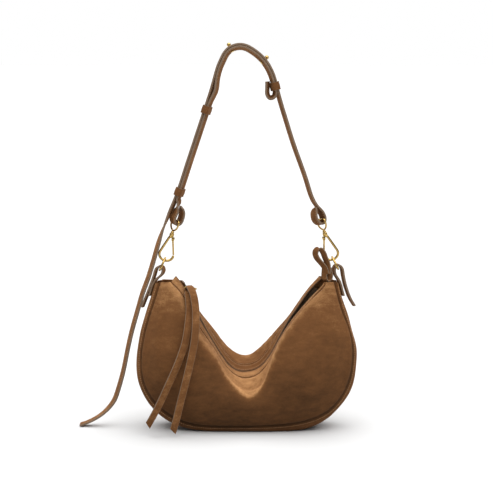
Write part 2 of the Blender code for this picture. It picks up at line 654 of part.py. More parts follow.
def build_eye(side, place):
    """The strap eye that turns in the hook's collar."""
    turn = place @ Matrix.Rotation(EYE_TURN, 4, "Z")
    path = curve_through([(0, y * MM, z * MM) for y, z in EYE], 25)[:-1]
    eye = sweep("hook_eye_" + side, path, np.array([1, 0, 0]), round_section(EYE_R), GOLD,
                turn, closed=True)
    post = [(0, -0.0006), (POST_R, -0.0006), (POST_R, 0.0039), (0.0027, 0.0039),
            (0.0027, 0.0054), (0.0016, 0.0062), (0.0014, 0.0082), (0, 0.0082)]
    combine(eye, turned("post_join_" + side, post, GOLD, turn), "UNION")


def box(name, size, place):
    x, y, z = (v / 2 for v in size)
    verts = [(i * x, j * y, k * z) for k in (-1, 1) for j in (-1, 1) for i in (-1, 1)]
    faces = [(0, 1, 3, 2), (4, 6, 7, 5), (0, 4, 5, 1), (2, 3, 7, 6), (0, 2, 6, 4), (1, 5, 7, 3)]
    return add_object(name, verts, faces, GOLD, place, smooth=False)


def ease(x):
    x = np.clip(x, 0, 1)
    return x * x * (3 - 2 * x)


def width_at(path, angle):
    """Unit width vectors: the Y axis turned about the path by angle."""
    out = unit(np.cross(tangents(path), np.array([0.0, 1.0, 0.0])))
    return np.array([0.0, 1.0, 0.0]) * np.cos(angle)[:, None] + out * np.sin(angle)[:, None]


def turn_end(path, wide, hook, side):
    """Turn a strap's end with the hook's eye, fading out up the strap."""
    bottom, collar = (Vector((x * MM, 0, z * MM)) for x, z in hook)
    axis = (collar - bottom).normalized()
    near = (path[:, 0] * side > 0) & (path[:, 2] < END_TURN_TOP)
    for i in np.flatnonzero(near):
        share = float(ease((END_TURN_TOP - path[i, 2]) / END_TURN_FADE))
        turn = Matrix.Rotation(EYE_TURN * share, 3, axis)
        path[i] = collar + turn @ (Vector(path[i]) - collar)
        wide[i] = wide[i] * (1 - share) + np.array(turn @ Vector((0, 1, 0))) * share


def fewer(path):
    """Indices of the path's points that a smooth sweep needs."""
    t = tangents(path)
    keep = [0]
    for i in range(1, len(path) - 1):
        step = np.linalg.norm(path[i] - path[keep[-1]])
        if step > LONGEST_STEP or t[i] @ t[keep[-1]] < math.cos(MOST_TURN):
            keep.append(i)
    return keep + [len(path) - 1]


def build_straps():
    """Both straps, the keepers round them and the two studs that join them."""
    path = curve_through(flat_points(LONG_STRAP), STRAP_POINTS)
    height = path[:, 2]
    tail = (path[:, 0] < 0) * ease((TAIL_TURN_TOP - height) / 0.06) * ease(height / 0.05)
    wide = width_at(path, TOP_TURN + (TAIL_TURN - TOP_TURN) * tail)
    t = tangents(path)
    out = unit(np.cross(wide, t))
    top = int(np.argmax(height))
    first = int(np.argmin(np.abs(height[:top] - SHORT_TO * MM)))
    last = top + int(np.argmin(np.abs(height[top:] - SHORT_FROM * MM)))
    apart = STRAP_T + 2 * GAP + STRAP_BULGE * np.exp(-((height - 0.480) / 0.012) ** 2)
    apart = np.where(path[:, 0] < 0, apart, STRAP_T + 2 * GAP)
    under = path - out * apart[:, None]
    short = np.concatenate([curve_through(flat_points(SHORT_FOLD)[::-1], 24),
                            under[first:last + 1],
                            curve_through(flat_points(SHORT_LOW)[::-1], 40)])
    short_wide = width_at(short, np.full(len(short), TOP_TURN))
    turn_end(path, wide, HOOK_R, 1)
    turn_end(short, short_wide, HOOK_L, -1)
    section = strip_section(STRAP_W, STRAP_T)
    pick = fewer(path)
    long_strap = sweep("strap_long", path[pick], wide[pick], section, SUEDE)
    pick = fewer(short)
    short_strap = sweep("strap_short", short[pick], short_wide[pick], section, SUEDE)
    for k, spot in enumerate(KEEPERS):
        i = nearest(path, spot)
        middle = path[i] - out[i] * apart[i] / 2
        build_keeper("keeper_%d" % (k + 1), middle, t[i], wide[i])
    for k, spot in enumerate(STUDS):
        i = nearest(path, spot)
        build_stud("%d" % (k + 1), path[i], out[i], wide[i], long_strap, short_strap)


def nearest(path, spot):
    target = np.array([spot[0] * MM, 0, spot[1] * MM])
    return int(np.argmin(np.linalg.norm(path - target, axis=1)))


def build_keeper(name, middle, along, wide):
    """A short leather sleeve round the two straps."""
    half_w = STRAP_W / 2 + KEEPER_ROOM + KEEPER_T / 2
    half_t = STRAP_T + GAP + KEEPER_ROOM + KEEPER_T / 2
    c = KEEPER_T / 2
    corners = [(-half_w, -half_t + c), (-half_w + c, -half_t), (half_w - c, -half_t),
               (half_w, -half_t + c), (half_w, half_t - c), (half_w - c, half_t),
               (-half_w + c, half_t), (-half_w, half_t - c)]
    path = np.array([(x, y, 0) for x, y in corners])
    section = [(-KEEPER_H / 2, -KEEPER_T / 2), (KEEPER_H / 2, -KEEPER_T / 2),
               (KEEPER_H / 2, KEEPER_T / 2), (-KEEPER_H / 2, KEEPER_T / 2)]
    z = Vector(along)
    x = Vector(wide)
    turn = Matrix((x, z.cross(x), z)).transposed().to_4x4()
    sweep(name, path, np.array([0, 0, 1]), section, SUEDE,
          Matrix.Translation(Vector(middle)) @ turn, closed=True)


def build_stud(tag, at, out, wide, long_strap, short_strap):
    """A ball stud outside, a screw inside, and a hole through both straps."""
    place = frame(at, out, wide)
    face = STRAP_T / 2 + GAP
    inner = -(STRAP_T * 1.5 + 2 * GAP) - 2 * GAP
    ball = [(0, inner), (SCREW_R, inner), (SCREW_R, face), (0.0034, face), (0.0034, face + 0.0010),
            (0.0016, face + 0.0016), (0.0018, face + 0.0024), (0.0031, face + 0.0038),
            (STUD_R, face + 0.0052), (0.0028, face + 0.0070), (0.0016, face + 0.0081),
            (0, face + 0.0084)]
    turned("stud_" + tag, ball, GOLD, place, 16)
    screw = [(0, inner - 0.0013), (0.0028, inner - 0.0011), (0.0032, inner - 0.0004),
             (0.0032, inner), (0.0017, inner), (0.0017, inner - 0.0003), (0, inner - 0.0003)]
    turned("stud_screw_" + tag, screw, GOLD, place, 16)
    hole = rod("stud_hole_" + tag, SCREW_R + GAP, -0.03, 0.03, GOLD, place)
    combine(long_strap, hole, "DIFFERENCE")
    combine(short_strap, hole, "DIFFERENCE")


def hang_strap():
    """Parent the strap and its hooks to an empty on the axis they fold about."""
    (x, z), _ = HOOK_L
    place = Matrix.Translation((x * MM, 0, z * MM))
    pivot = bpy.data.objects.new("strap_pivot", None)
    pivot.matrix_world = place
    bpy.context.collection.objects.link(pivot)
    for obj in bpy.data.objects:
        if obj.name.startswith(("strap_long", "strap_short", "keeper", "stud", "hook", "gate")):
            obj.parent = pivot
            obj.matrix_parent_inverse = place.inverted()


def main():
    clear_scene()
    build_body()
    build_zip()
    build_tassel(build_slider())
    build_tabs()
    build_ring("d_ring_left", BAR_L, HOOK_L)
    build_ring("d_ring_right", BAR_R, HOOK_R)
    build_hook("left", HOOK_L, 1)
    build_hook("right", HOOK_R, -1)
    build_straps()
    hang_strap()


main()
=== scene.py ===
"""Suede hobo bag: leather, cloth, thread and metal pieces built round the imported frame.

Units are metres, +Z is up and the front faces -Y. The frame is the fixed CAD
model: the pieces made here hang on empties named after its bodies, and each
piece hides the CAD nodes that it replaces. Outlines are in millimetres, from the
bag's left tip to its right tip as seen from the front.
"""

import math

import bmesh
import bpy
import numpy as np
from bpy.props import FloatProperty, FloatVectorProperty, IntProperty, PointerProperty
from mathutils import Matrix, Vector, noise


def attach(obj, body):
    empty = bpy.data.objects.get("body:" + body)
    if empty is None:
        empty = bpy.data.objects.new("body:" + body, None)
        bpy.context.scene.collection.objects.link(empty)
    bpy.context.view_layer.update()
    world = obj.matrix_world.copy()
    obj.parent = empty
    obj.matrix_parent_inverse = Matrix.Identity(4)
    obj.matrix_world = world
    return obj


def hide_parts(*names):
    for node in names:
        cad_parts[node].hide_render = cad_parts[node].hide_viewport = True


bl_info = {
    "name": "Suede hobo bag",
    "version": (1, 0, 0),
    "blender": (4, 5, 0),
    "location": "View3D > Sidebar > Hobo Bag",
    "description": "Builds the leather, cloth, thread and metal pieces of a crescent hobo bag",
    "category": "Add Mesh",
}

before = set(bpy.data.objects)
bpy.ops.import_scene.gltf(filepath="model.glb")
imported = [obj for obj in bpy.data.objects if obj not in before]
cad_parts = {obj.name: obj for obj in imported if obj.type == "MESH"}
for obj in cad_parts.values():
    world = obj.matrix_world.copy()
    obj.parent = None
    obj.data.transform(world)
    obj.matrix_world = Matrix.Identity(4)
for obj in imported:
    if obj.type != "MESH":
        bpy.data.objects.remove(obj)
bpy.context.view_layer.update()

MM = 0.001

# outlines of the body, mm
SEAM = [(-122, -11, 211), (-129.5, -15, 186), (-138.8, -19, 157), (-146.3, -23, 125),
        (-148.8, -27, 95.5), (-143.4, -30, 66), (-130, -32, 43.4), (-110.6, -34, 26.5),
        (-77, -36, 12.5), (-41.5, -37.5, 9.5), (0, -38, 9.5), (35, -37.5, 10.5),
        (84, -35, 16.7), (114.3, -33, 29.7), (136, -31, 53.8), (146.3, -29, 79.5),
        (150, -25, 114), (143, -20, 151), (134.3, -16, 172.3), (128.3, -13, 194),
        (124, -11, 211.5)]
KEEL = [(-129, 0, 208), (-137, 0, 183.5), (-144.5, 0, 161), (-154.5, 0, 118),
        (-156.3, 0, 97), (-155, 0, 75), (-148, 0, 53), (-135, 0, 32), (-119, 0, 17),
        (-94, 0, 4), (-64, 0, -2), (0, 0, -3), (66, 0, -2), (92, 0, 3), (117, 0, 17),
        (133, 0, 33), (147, 0, 53), (154, 0, 75), (156.3, 0, 97), (156, 0, 118),
        (150, 0, 140), (144.5, 0, 161), (136.5, 0, 184), (130, 0, 208)]
CREASE = [(-106, -12, 211.5), (-99.4, -16, 202), (-93.5, -20, 193), (-82.7, -27, 168),
          (-65, -34, 134), (-43, -40, 108), (-29, -43, 83.5), (-17, -45, 69.6),
          (-6, -46, 59), (4, -46, 53.5), (12, -46, 57), (20, -45, 66.5), (27, -43, 81),
          (36, -38, 107), (51.5, -31, 138), (75, -22, 168), (92, -16, 189), (109.9, -10, 211)]
FRONT_LIP = [(-99.6, -5, 218.6), (-92.3, -4.2, 209), (-79.2, -3.4, 183.4), (-66, -2.6, 155),
             (-50, -1.4, 126), (-34, -1.0, 100.2), (-21, -0.8, 85.3), (-11, -0.8, 80.3),
             (0, -0.8, 79.6), (15.6, -0.8, 84.2), (25, -1.0, 91.8), (41, -1.4, 116.2),
             (62, -2.2, 152), (77, -2.5, 171.5), (94, -3, 191), (112, -3, 207)]
BACK_LIP = [(-88, 4, 208), (-78, 2.5, 184.5), (-65, 1.7, 156.5), (-49, 1.3, 126.4),
            (-33, 1.0, 100.8), (-20.5, 0.8, 86.2), (-11, 0.8, 81.4), (0, 0.8, 80.7),
            (15.6, 0.8, 85.1), (24.6, 1.0, 92.4), (40, 1.4, 116.4), (60, 2.2, 154.5),
            (74, 4, 175), (89, 5, 196), (105.5, 5, 213)]
RIDGE = [(-91, 10, 210), (-79.5, 18, 187), (-65, 24, 162.8), (-45.2, 28, 138.2),
         (-32.5, 30, 121.5), (-20, 31, 108.3), (-9, 32, 101), (-2, 32, 99.6), (5.5, 32, 101.2),
         (15, 31, 108.6), (26.8, 30, 121), (40.5, 28, 138), (61.5, 26, 161),
         (77, 21, 184), (103, 10, 216.5)]
ZIP = [(-95.2, 0, 205.6), (-83.2, 0, 179.5), (-71.3, 0, 153.6), (-55.4, 0, 122.5),
       (-39, 0, 95), (-24, 0, 80), (-11, 0, 74.5), (0, 0, 73.7), (17, 0, 77.6),
       (29.5, 0, 86.5), (46.5, 0, 112), (67, 0, 147.5), (81, 0, 167), (98, 0, 187),
       (112, 0, 200)]

# the long strap: right eye, over the top, down the left, loose tail to the floor
LONG_STRAP = [(94.8, 314.2), (93.4, 306.6), (94.6, 298.6), (99.2, 293.1), (104.8, 292.4),
              (108.3, 297.1), (107.2, 304.7), (101.7, 313.2), (94.6, 323), (87.6, 339.9),
              (83.3, 354), (73.3, 382), (63.4, 409.9), (54.6, 437.7), (46.1, 465.4),
              (41.6, 482), (36.8, 499), (30, 513), (21, 524.5), (9, 534.1), (-0.7, 539.2),
              (-9, 540.6), (-17.3, 539.2), (-25.2, 534.8), (-30.8, 528), (-34.8, 520),
              (-38.8, 510.8), (-42.2, 499.9), (-48.5, 478), (-52.6, 465.4), (-57, 452.2),
              (-67.1, 422), (-76.5, 394), (-85.8, 366), (-94.9, 338.8), (-99, 328),
              (-103.6, 317), (-108.3, 306.5), (-112.8, 296), (-118.4, 282), (-122.8, 269),
              (-127, 255), (-131, 240.8), (-135.4, 226.5), (-140.2, 212), (-145.6, 197.8),
              (-150.4, 183), (-154.4, 169), (-158.6, 154.6), (-162.7, 140), (-169.5, 111),
              (-175.6, 82), (-183.8, 52.7), (-189, 39), (-194.5, 30.5), (-201, 23.3),
              (-209.5, 16), (-221, 9), (-232, 4.2), (-238.5, 2.2)]
SHORT_LOW = [(-90.6, 315.0), (-89.6, 307), (-91.4, 298.2), (-95.8, 292.2),
             (-101.0, 292.2), (-104.2, 297.2), (-102.8, 304.5), (-98.2, 313.2), (-94.4, 323)]
SHORT_FOLD = [(39.5, 474.5), (37.6, 470.2), (33.0, 468.6), (29.6, 472.2), (28.9, 480),
              (29.1, 491)]
SHORT_FROM = 0.328      # height where the short strap meets the long one, left
SHORT_TO = 0.477        # height where it leaves it, right

# hardware places, mm in the front view
HOOK_L = ((-115.5, 240.0), (-105.5, 275.5))
HOOK_R = ((121.9, 241.4), (110.8, 276.6))
BAR_L = (-122.2, 227.4)
BAR_R = (129.0, 229.2)
TAB_L = [(-136.7, 190), (-133.5, 200), (-130.6, 208), (-125.8, 214.6), (-119.9, 219.8),
         (-117.2, 225.3), (-118.6, 230.4), (-122.8, 231.7), (-126.8, 228.4), (-129, 222),
         (-131.9, 213), (-135.6, 203), (-139.6, 193), (-143.7, 183), (-147.5, 173.5)]
TAB_R = [(136.5, 190), (133.8, 200), (131.7, 208), (128.4, 214.6), (124.8, 220.4),
         (123.4, 226.7), (125.4, 232.1), (129.6, 233.6), (133.6, 230.4), (135.4, 223.5),
         (136.9, 215), (138.9, 206.5), (141.9, 197), (145.8, 187), (152.6, 175.5)]
END_LOOP = [(112.4, 222.5), (110.6, 229.6), (104.6, 238), (97.2, 248.4), (97.2, 254.6),
            (101.6, 258), (106.2, 254.8), (110.2, 246), (113.4, 238), (114.4, 231.6),
            (114.0, 222.8)]
END_CLIP = [(115.6, 231.0), (116.2, 227.0), (117.2, 222.6), (117.4, 217.6), (114.6, 213.9),
            (111.0, 215.2), (109.6, 220), (109.8, 224.6), (110.0, 229.0)]
TASSEL_L = [(-77.3, -2.8, 199.2), (-79.4, -5.6, 196.6), (-81.8, -10, 197.6),
            (-82.2, -15.5, 196.5), (-80.6, -23, 186), (-80, -33, 168), (-82, -44, 150),
            (-85, -50.5, 133), (-91.5, -56.5, 113), (-100, -59.5, 92.5), (-109.5, -60.5, 72),
            (-119, -60, 51), (-127.5, -58, 34), (-140.5, -53, 10)]
TASSEL_R = [(-77.3, -2.8, 199.2), (-79.6, -3.8, 202.6), (-81.6, -7.5, 204.8),
            (-80.4, -13, 205), (-77, -19.5, 201.5), (-72.8, -28, 190), (-70.4, -38, 168),
            (-71, -47.5, 146),
            (-73.5, -54, 126), (-78, -60, 105), (-83, -62.5, 84), (-88.6, -63, 62),
            (-94, -62, 40), (-99, -60, 20), (-104.5, -57, 2.5)]
KEEPERS = ((-95.3, 337.5), (-57, 452.2), (40.9, 484.6))
STUDS = ((-21.5, 537.3), (24.3, 520.2))

# body shell
PILLOW = 0.16           # bulge of a panel, as a share of its height
GUSSET_FLAT = 4.0       # higher makes the gusset's section squarer
FACING_W = 0.012        # width of the strips along the zip
LINING_IN = 0.0055      # lining's outer face below the panels' outer face
FINE = 161              # steps across a panel while its folds are rounded off

# folds of the sagging middle: distance from the zip's lip, height, width,
# middle and reach along the bag, mm
FRONT_FOLDS = [(6.5, 0.4, 2.2, 2, 62), (17, 0.6, 2.6, 0, 46), (21.5, -0.7, 2.0, 4, 40),
               (26, 0.6, 2.4, -3, 38), (30.5, -0.8, 2.0, 8, 28), (36.5, -2.0, 2.8, 10, 14),
               (35.5, -1.0, 2.2, -14, 9), (42, 0.7, 2.6, 2, 18)]
BACK_FOLDS = [(5, -0.3, 1.8, 4, 50), (8.5, 0.4, 2.2, 0, 60), (16, 0.4, 2.4, 2, 55),
              (19.5, -0.4, 2.0, 6, 46), (24, 0.4, 2.4, 0, 50), (28, -0.35, 2.2, 5, 40),
              (32, 0.3, 2.4, 0, 40)]

# zip, straps, tabs and hardware: _T is a thickness, _W a width, _R a radius
TAPE_T = 0.0008
TAPE_W = 0.0090
TEETH_W = 0.0046
SLIDER_FROM = 0.0110    # slider's middle from the zip's left end
SLIDER_HOLE = 0.0092    # hole of the slider's bail above the teeth
PULL_R = 0.0055
PULL_WIRE = 0.0011
STRAP_GAP = 0.0006
STRAP_BULGE = 0.0028    # the straps part a little above the middle keeper
KEEPER_T = 0.0016
KEEPER_H = 0.0115       # length of a keeper along the strap
KEEPER_CORNER = 0.0018
KEEPER_ROOM_W = 0.0005  # room beside the straps in a keeper
KEEPER_ROOM_T = 0.0008
STUD_FOOT = 0.0003      # gap under a stud's foot
STUD_NECK = 3.4         # middle of a stud's ball above its foot, mm
STUD_R = 0.0029
TAB_W = 0.0130
TAB_T = 0.0027
END_TAB_W = 0.0092
END_TAB_T = 0.0021
RING_R = 0.0015
RING_HALF = 0.0088
RING_TOP = 0.0039
BOW_R = 0.0018          # wire of the hooks
EYE_TURN = math.radians(33)     # strap ends, about the hook's line
TOP_TURN = math.radians(17)     # strap faces, towards the front
TAIL_TURN = math.radians(-20)
TAIL_TURN_TOP = 0.318   # height under which the tail starts to turn
END_TURN_TOP = 0.326    # height under which a strap's end turns with its eye
END_TURN_FADE = 0.018
LEVEL_UNDER = 0.05      # the tail's turn fades to none from here down to the floor

# mesh steps
SHARP = math.radians(50)        # edges over this stay sharp
PANEL_N = 44
FACING_N = 9
GUSSET_N = 25
FRONT_ROUNDING = 22
BACK_ROUNDING = 60

# slack, seams and stitches
WAVE = 0.0013
DENT = 0.0005
PUCKER = 0.0085         # length of one ripple along a seam
PUCKER_HEIGHT = 0.00028
BEAD = 0.0014           # height of the rim's bead
FLOOR_GAP = 0.0002      # the body's shell stays this far above the floor
STITCH_IN = 0.0022
RIM_STITCH = 0.0048
THREAD_R = 0.00030
EDGE_LINE = 0.0022      # stitches in from a strap's edge
LINE_DEPTH = 0.0002
CREASED_FROM = 0.006
STOP_ROOM = 0.009
TOOTH_STEP = 0.0013
TOOTH = MM * np.array([(-0.55, -0.85), (0.55, -0.85), (0.62, -0.6), (0.62, 0.6), (0.45, 0.85),
                (-0.45, 0.85), (-0.62, 0.6), (-0.62, -0.6)])
TASSEL_T = 0.0018

# outlines of the small metal pieces, mm
BAIL = [(-3.6, 1.7), (-3.6, 8.0), (-3.0, 11.2), (-1.2, 12.5), (1.2, 12.5), (3.0, 11.2),
        (3.6, 8.0), (3.6, 1.7)]
BOW = [(-2.2, -2.4), (-3.4, -6), (-6.0, -14), (-9.0, -23.5), (-9.9, -28.6), (-7.8, -33.4),
       (-3.6, -36.2), (0, -36.9), (3.6, -36.2), (7.8, -33.4), (9.8, -29.4), (9.8, -26.6)]
COLLAR = [(0, -3.4), (2.4, -3.4), (3.0, -3.1), (3.4, -2.5), (3.4, -1.3), (3.1, -1.0),
          (3.1, -0.6), (3.4, -0.3), (3.4, 2.3), (3.2, 2.9), (2.7, 3.4), (1.8, 3.5), (1.6, 3.3),
          (1.6, -1.0), (0, -1.0)]
EAR = [(-1.9, 3.6), (1.9, 3.6), (2.1, 1.8), (2.0, 0), (1.5, -1.3), (0, -1.9), (-1.5, -1.3),
       (-2.0, 0), (-2.1, 1.8)]
GATE_HEAD = [(0, -1.4), (1.6, -1.4), (1.8, -1.2), (1.8, 1.2), (1.6, 1.4), (0, 1.4)]
EYE = [(0, 7.6), (2.6, 8.2), (6.4, 10.4), (9.2, 14), (9.8, 17.4), (9.6, 20.8), (7.8, 22.5),
       (0, 22.6), (-7.8, 22.5), (-9.6, 20.8), (-9.8, 17.4), (-9.2, 14), (-6.4, 10.4),
       (-2.6, 8.2), (0, 7.6)]
POST = [(0, -0.6), (1.5, -0.6), (1.5, 3.9), (2.5, 3.9), (2.7, 4.1), (2.7, 5.2), (2.4, 5.6),
        (1.7, 6.2), (1.4, 7.2), (1.4, 8.3), (0, 8.4)]

# studio: light (name, power, angle, direction), world strength, floor and camera
LIGHTS = (("top softbox", 5.3, math.radians(95), (0.10, -0.12, 1)),
          ("front fill", 0.12, math.radians(60), (-0.6, -1, 0.5)))
WORLD_FRONT = 0.18
WORLD_BACK = 1.0
WORLD_FADE = 0.85       # the world is full strength from here to the back
FLOOR_R = 60
FLOOR_SIDES = 96
CAMERA_LENS = 100       # mm
CAMERA_SENSOR = 36      # mm
CAMERA_RISE = math.radians(8)
CAMERA_FAR = 1.93
CAMERA_AT = (0, 0, 0.26)

# turns away from facing the side: the D-ring tabs, and the zip-end loop and clip
TAB_TURN = math.radians(14)
LOOP_TURN = math.radians(55)

# painted_light attribute: above 0 the nap is painted paler, as painted highlight and painted
# light; below 0 it is painted darker, as painted shade in a seam
FOLD_HIGHLIGHT_WIDTH = 0.0065
FOLD_RAILS = {"front_panel": CREASE, "back_panel": RIDGE}
# painted shade along the seams of each piece
SEAM_SHADE = {"front_panel": 0.5, "back_panel": 0.2, "gusset": 0.7, "front_facing": 0.35,
              "back_facing": 0.15}
SEAM_SHADE_WIDTH = 0.0014
# painted highlight along the folds
FOLD_PAINTED_HIGHLIGHT = 0.45
# painted light on the sagging middle, where it faces up into the light
SAG_PAINTED_LIGHT = {"front_panel": 0.85, "front_facing": 0.7, "back_panel": 0.38, "back_facing": 0.35}
SAG_REACH = 0.058
PAINTED_LIGHT_GAIN = 0.42


def hex_linear(code):
    """An sRGB hex colour as linear RGBA."""
    parts = [int(code[i:i + 2], 16) / 255 for i in (0, 2, 4)]
    line = [c / 12.92 if c <= 0.04045 else ((c + 0.055) / 1.055) ** 2.4 for c in parts]
    return (*line, 1.0)


def colour_prop(label, text, code):
    return FloatVectorProperty(name=label, description=text, subtype="COLOR", size=4,
                               min=0.0, max=1.0, default=hex_linear(code))


class HoboBagSizes(bpy.types.PropertyGroup):
    """Sizes that the maker of the bag would choose."""

    panel_thickness: FloatProperty(
        name="Panel Thickness", description="Thickness of the suede panels",
        default=0.0018, min=0.0005, max=0.003, unit="LENGTH")
    strap_width: FloatProperty(
        name="Strap Width", description="Width of both shoulder straps",
        default=0.0145, min=0.008, max=0.03, unit="LENGTH")
    strap_thickness: FloatProperty(
        name="Strap Thickness", description="Thickness of one strap",
        default=0.0028, min=0.001, max=0.005, unit="LENGTH")
    tassel_width: FloatProperty(
        name="Tassel Width", description="Width of each strip of the zip pull",
        default=0.0105, min=0.004, max=0.02, unit="LENGTH")
    seam_depth: FloatProperty(
        name="Seam Depth", description="How far the sewn seams pull in",
        default=0.0019, min=0.0, max=0.003, unit="LENGTH")
    stitch_pitch: FloatProperty(
        name="Stitch Pitch", description="Distance from one stitch to the next",
        default=0.0032, min=0.0015, max=0.006, unit="LENGTH")
    stations: IntProperty(
        name="Stations", description="Cross-sections of the body from tip to tip",
        default=151, min=31, max=400)


class HoboBagColours(bpy.types.PropertyGroup):
    """Colours of the bag's leathers, cloths and metal."""

    # the low and high ends also serve as painted shade and painted highlight on the suede
    suede_low: colour_prop("Suede Shade", "Nap lying away from the light", "382311")
    suede_mid: colour_prop("Suede", "The suede's middle colour", "6a4526")
    suede_high: colour_prop("Suede Light", "Nap brushed up towards the light", "c39362")
    cut_edge: colour_prop("Cut Edge", "Raw cut edges of straps and tabs", "77624f")
    thread: colour_prop("Thread", "Waxed sewing thread", "a67a4e")
    plate: colour_prop("Plating", "Pale gold plating of the hardware", "b8995a")
    tape: colour_prop("Zip Tape", "Woven tape of the zip", "2d211a")
    lining: colour_prop("Lining", "Woven lining cloth", "6b563f")
    floor: colour_prop("Floor", "Pale studio floor", "c6c6c6")


def add_node(tree, kind, inputs=None, stops=None, **settings):
    """One node with its settings; an input is a value or the socket that feeds it."""
    node = tree.nodes.new(kind)
    for key, value in settings.items():
        setattr(node, key, value)
    for key, value in (inputs or {}).items():
        if isinstance(value, bpy.types.NodeSocket):
            tree.links.new(value, node.inputs[key])
        else:
            node.inputs[key].default_value = value
    for k, (at, colour) in enumerate(stops or ()):
        ramp = node.color_ramp
        stop = ramp.elements[k] if k < len(ramp.elements) else ramp.elements.new(at)
        stop.position = at
        stop.color = colour
    return node


def new_material(name, metallic=0.0, roughness=0.5, **uniform):
    """A Principled material with its uniform values on the shader's own sockets."""
    mat = bpy.data.materials.new(name)
    mat.use_nodes = True
    shader = mat.node_tree.nodes["Principled BSDF"]
    shader.inputs["Metallic"].default_value = metallic
    shader.inputs["Roughness"].default_value = roughness
    for key, value in uniform.items():
        shader.inputs[key.replace("_", " ")].default_value = value
    return mat, mat.node_tree, shader


def suede_material(name, low, mid, high, gradient):
    """Split cowhide buffed to a nap.

    It gives the eye a dull, deep brown without highlights, with soft cloudy patches
    and a rim of sheen at the outline. Painted shade makes it darker towards the
    bottom, and the painted_light attribute adds painted highlight and painted shade.
    """
    mat, tree, shader = new_material(name, roughness=0.95, IOR=1.48,
                                     Specular_IOR_Level=0.18, Sheen_Weight=0.22,
                                     Sheen_Roughness=0.45, Sheen_Tint=high)
    where = add_node(tree, "ShaderNodeTexCoord").outputs["Object"]
    # brushed patches are about 35 mm across, and finger marks about 9 mm
    brush = add_node(tree, "ShaderNodeMapping", {"Vector": where, "Scale": (0.45, 1.0, 1.0)})
    patch = add_node(tree, "ShaderNodeTexNoise", {"Vector": brush.outputs["Vector"],
                                                  "Scale": 30.0, "Detail": 3.0,
                                                  "Roughness": 0.5})
    mark = add_node(tree, "ShaderNodeTexNoise", {"Vector": brush.outputs["Vector"],
                                                 "Scale": 150.0, "Detail": 4.0,
                                                 "Roughness": 0.65})
    # the nap's fibres are under 0.1 mm and are drawn at 0.8 mm, so that they show
    nap = add_node(tree, "ShaderNodeTexNoise", {"Vector": where, "Scale": 1250.0, "Detail": 2.0,
                                                "Roughness": 0.6})
    cloud = add_node(tree, "ShaderNodeMix", {"Factor": 0.55, "A": patch.outputs["Fac"],
                                             "B": mark.outputs["Fac"]})
    tone = add_node(tree, "ShaderNodeMix", {"Factor": 0.38, "A": cloud.outputs["Result"],
                                            "B": nap.outputs["Fac"]})
    height = add_node(tree, "ShaderNodeSeparateXYZ", {"Vector": where})
    # painted shade: darker towards the bottom and paler towards the top, as light from above falls
    lift = add_node(tree, "ShaderNodeMapRange", {"Value": height.outputs["Z"], "From Min": 0.0,
                                                 "From Max": 0.22, "To Min": -gradient,
                                                 "To Max": 0.3 * gradient})
    sum_ = add_node(tree, "ShaderNodeMath", {0: tone.outputs["Result"],
                                             1: lift.outputs["Result"]}, operation="ADD")
    # painted highlight, painted light and painted shade from the painted_light attribute
    painted_light_node = add_node(tree, "ShaderNodeAttribute", attribute_name="painted_light")
    tone = add_node(tree, "ShaderNodeMath", {0: painted_light_node.outputs["Fac"], 1: PAINTED_LIGHT_GAIN,
                                             2: sum_.outputs["Value"]}, operation="MULTIPLY_ADD")
    ramp = add_node(tree, "ShaderNodeValToRGB", {"Fac": tone.outputs["Value"]},
                    stops=((0.12, low), (0.9, high), (0.52, mid)))
    tree.links.new(ramp.outputs["Color"], shader.inputs["Base Color"])
    # a faint grain of 2.5 mm pores under the nap
    grain = add_node(tree, "ShaderNodeTexVoronoi", {"Vector": where, "Scale": 400.0})
    rise = add_node(tree, "ShaderNodeMix", {"Factor": 0.35, "A": nap.outputs["Fac"],
                                            "B": grain.outputs["Distance"]})
    bump = add_node(tree, "ShaderNodeBump", {"Height": rise.outputs["Result"], "Strength": 0.35,
                                             "Distance": 0.0004})
    tree.links.new(bump.outputs["Normal"], shader.inputs["Normal"])
    return mat


def cut_edge_material(colour):
    """Raw cut leather, burnished: dull grey-brown with a fibrous core."""
    mat, tree, shader = new_material("cut leather edge, burnished", roughness=0.8, IOR=1.5,
                                     Specular_IOR_Level=0.3)
    where = add_node(tree, "ShaderNodeTexCoord").outputs["Object"]
    # fibre bundles of the hide are 0.1 mm and are drawn at 0.7 mm
    fibre = add_node(tree, "ShaderNodeTexNoise", {"Vector": where, "Scale": 1400.0, "Detail": 3.0})
    dark = tuple(c * 0.7 for c in colour[:3]) + (1.0,)
    pale = tuple(min(1.0, c * 1.15) for c in colour[:3]) + (1.0,)
    ramp = add_node(tree, "ShaderNodeValToRGB", {"Fac": fibre.outputs["Fac"]},
                    stops=((0.3, dark), (0.7, pale)))
    tree.links.new(ramp.outputs["Color"], shader.inputs["Base Color"])
    bump = add_node(tree, "ShaderNodeBump", {"Height": fibre.outputs["Fac"], "Strength": 0.4,
                                             "Distance": 0.0002})
    tree.links.new(bump.outputs["Normal"], shader.inputs["Normal"])
    return mat


def thread_material(colour):
    """Bonded nylon thread, waxed: slightly shiny twisted strands."""
    mat, tree, shader = new_material("bonded nylon thread, waxed", roughness=0.55, IOR=1.53,
                                     Sheen_Weight=0.2)
    where = add_node(tree, "ShaderNodeTexCoord").outputs["Object"]
    # plies cross every 0.6 mm
    ply = add_node(tree, "ShaderNodeTexWave", {"Vector": where, "Scale": 260.0, "Distortion": 2.0},
                   bands_direction="DIAGONAL")
    dark = tuple(c * 0.7 for c in colour[:3]) + (1.0,)
    mix = add_node(tree, "ShaderNodeValToRGB", {"Fac": ply.outputs["Fac"]},
                   stops=((0.2, dark), (0.8, colour)))
    tree.links.new(mix.outputs["Color"], shader.inputs["Base Color"])
    return mat


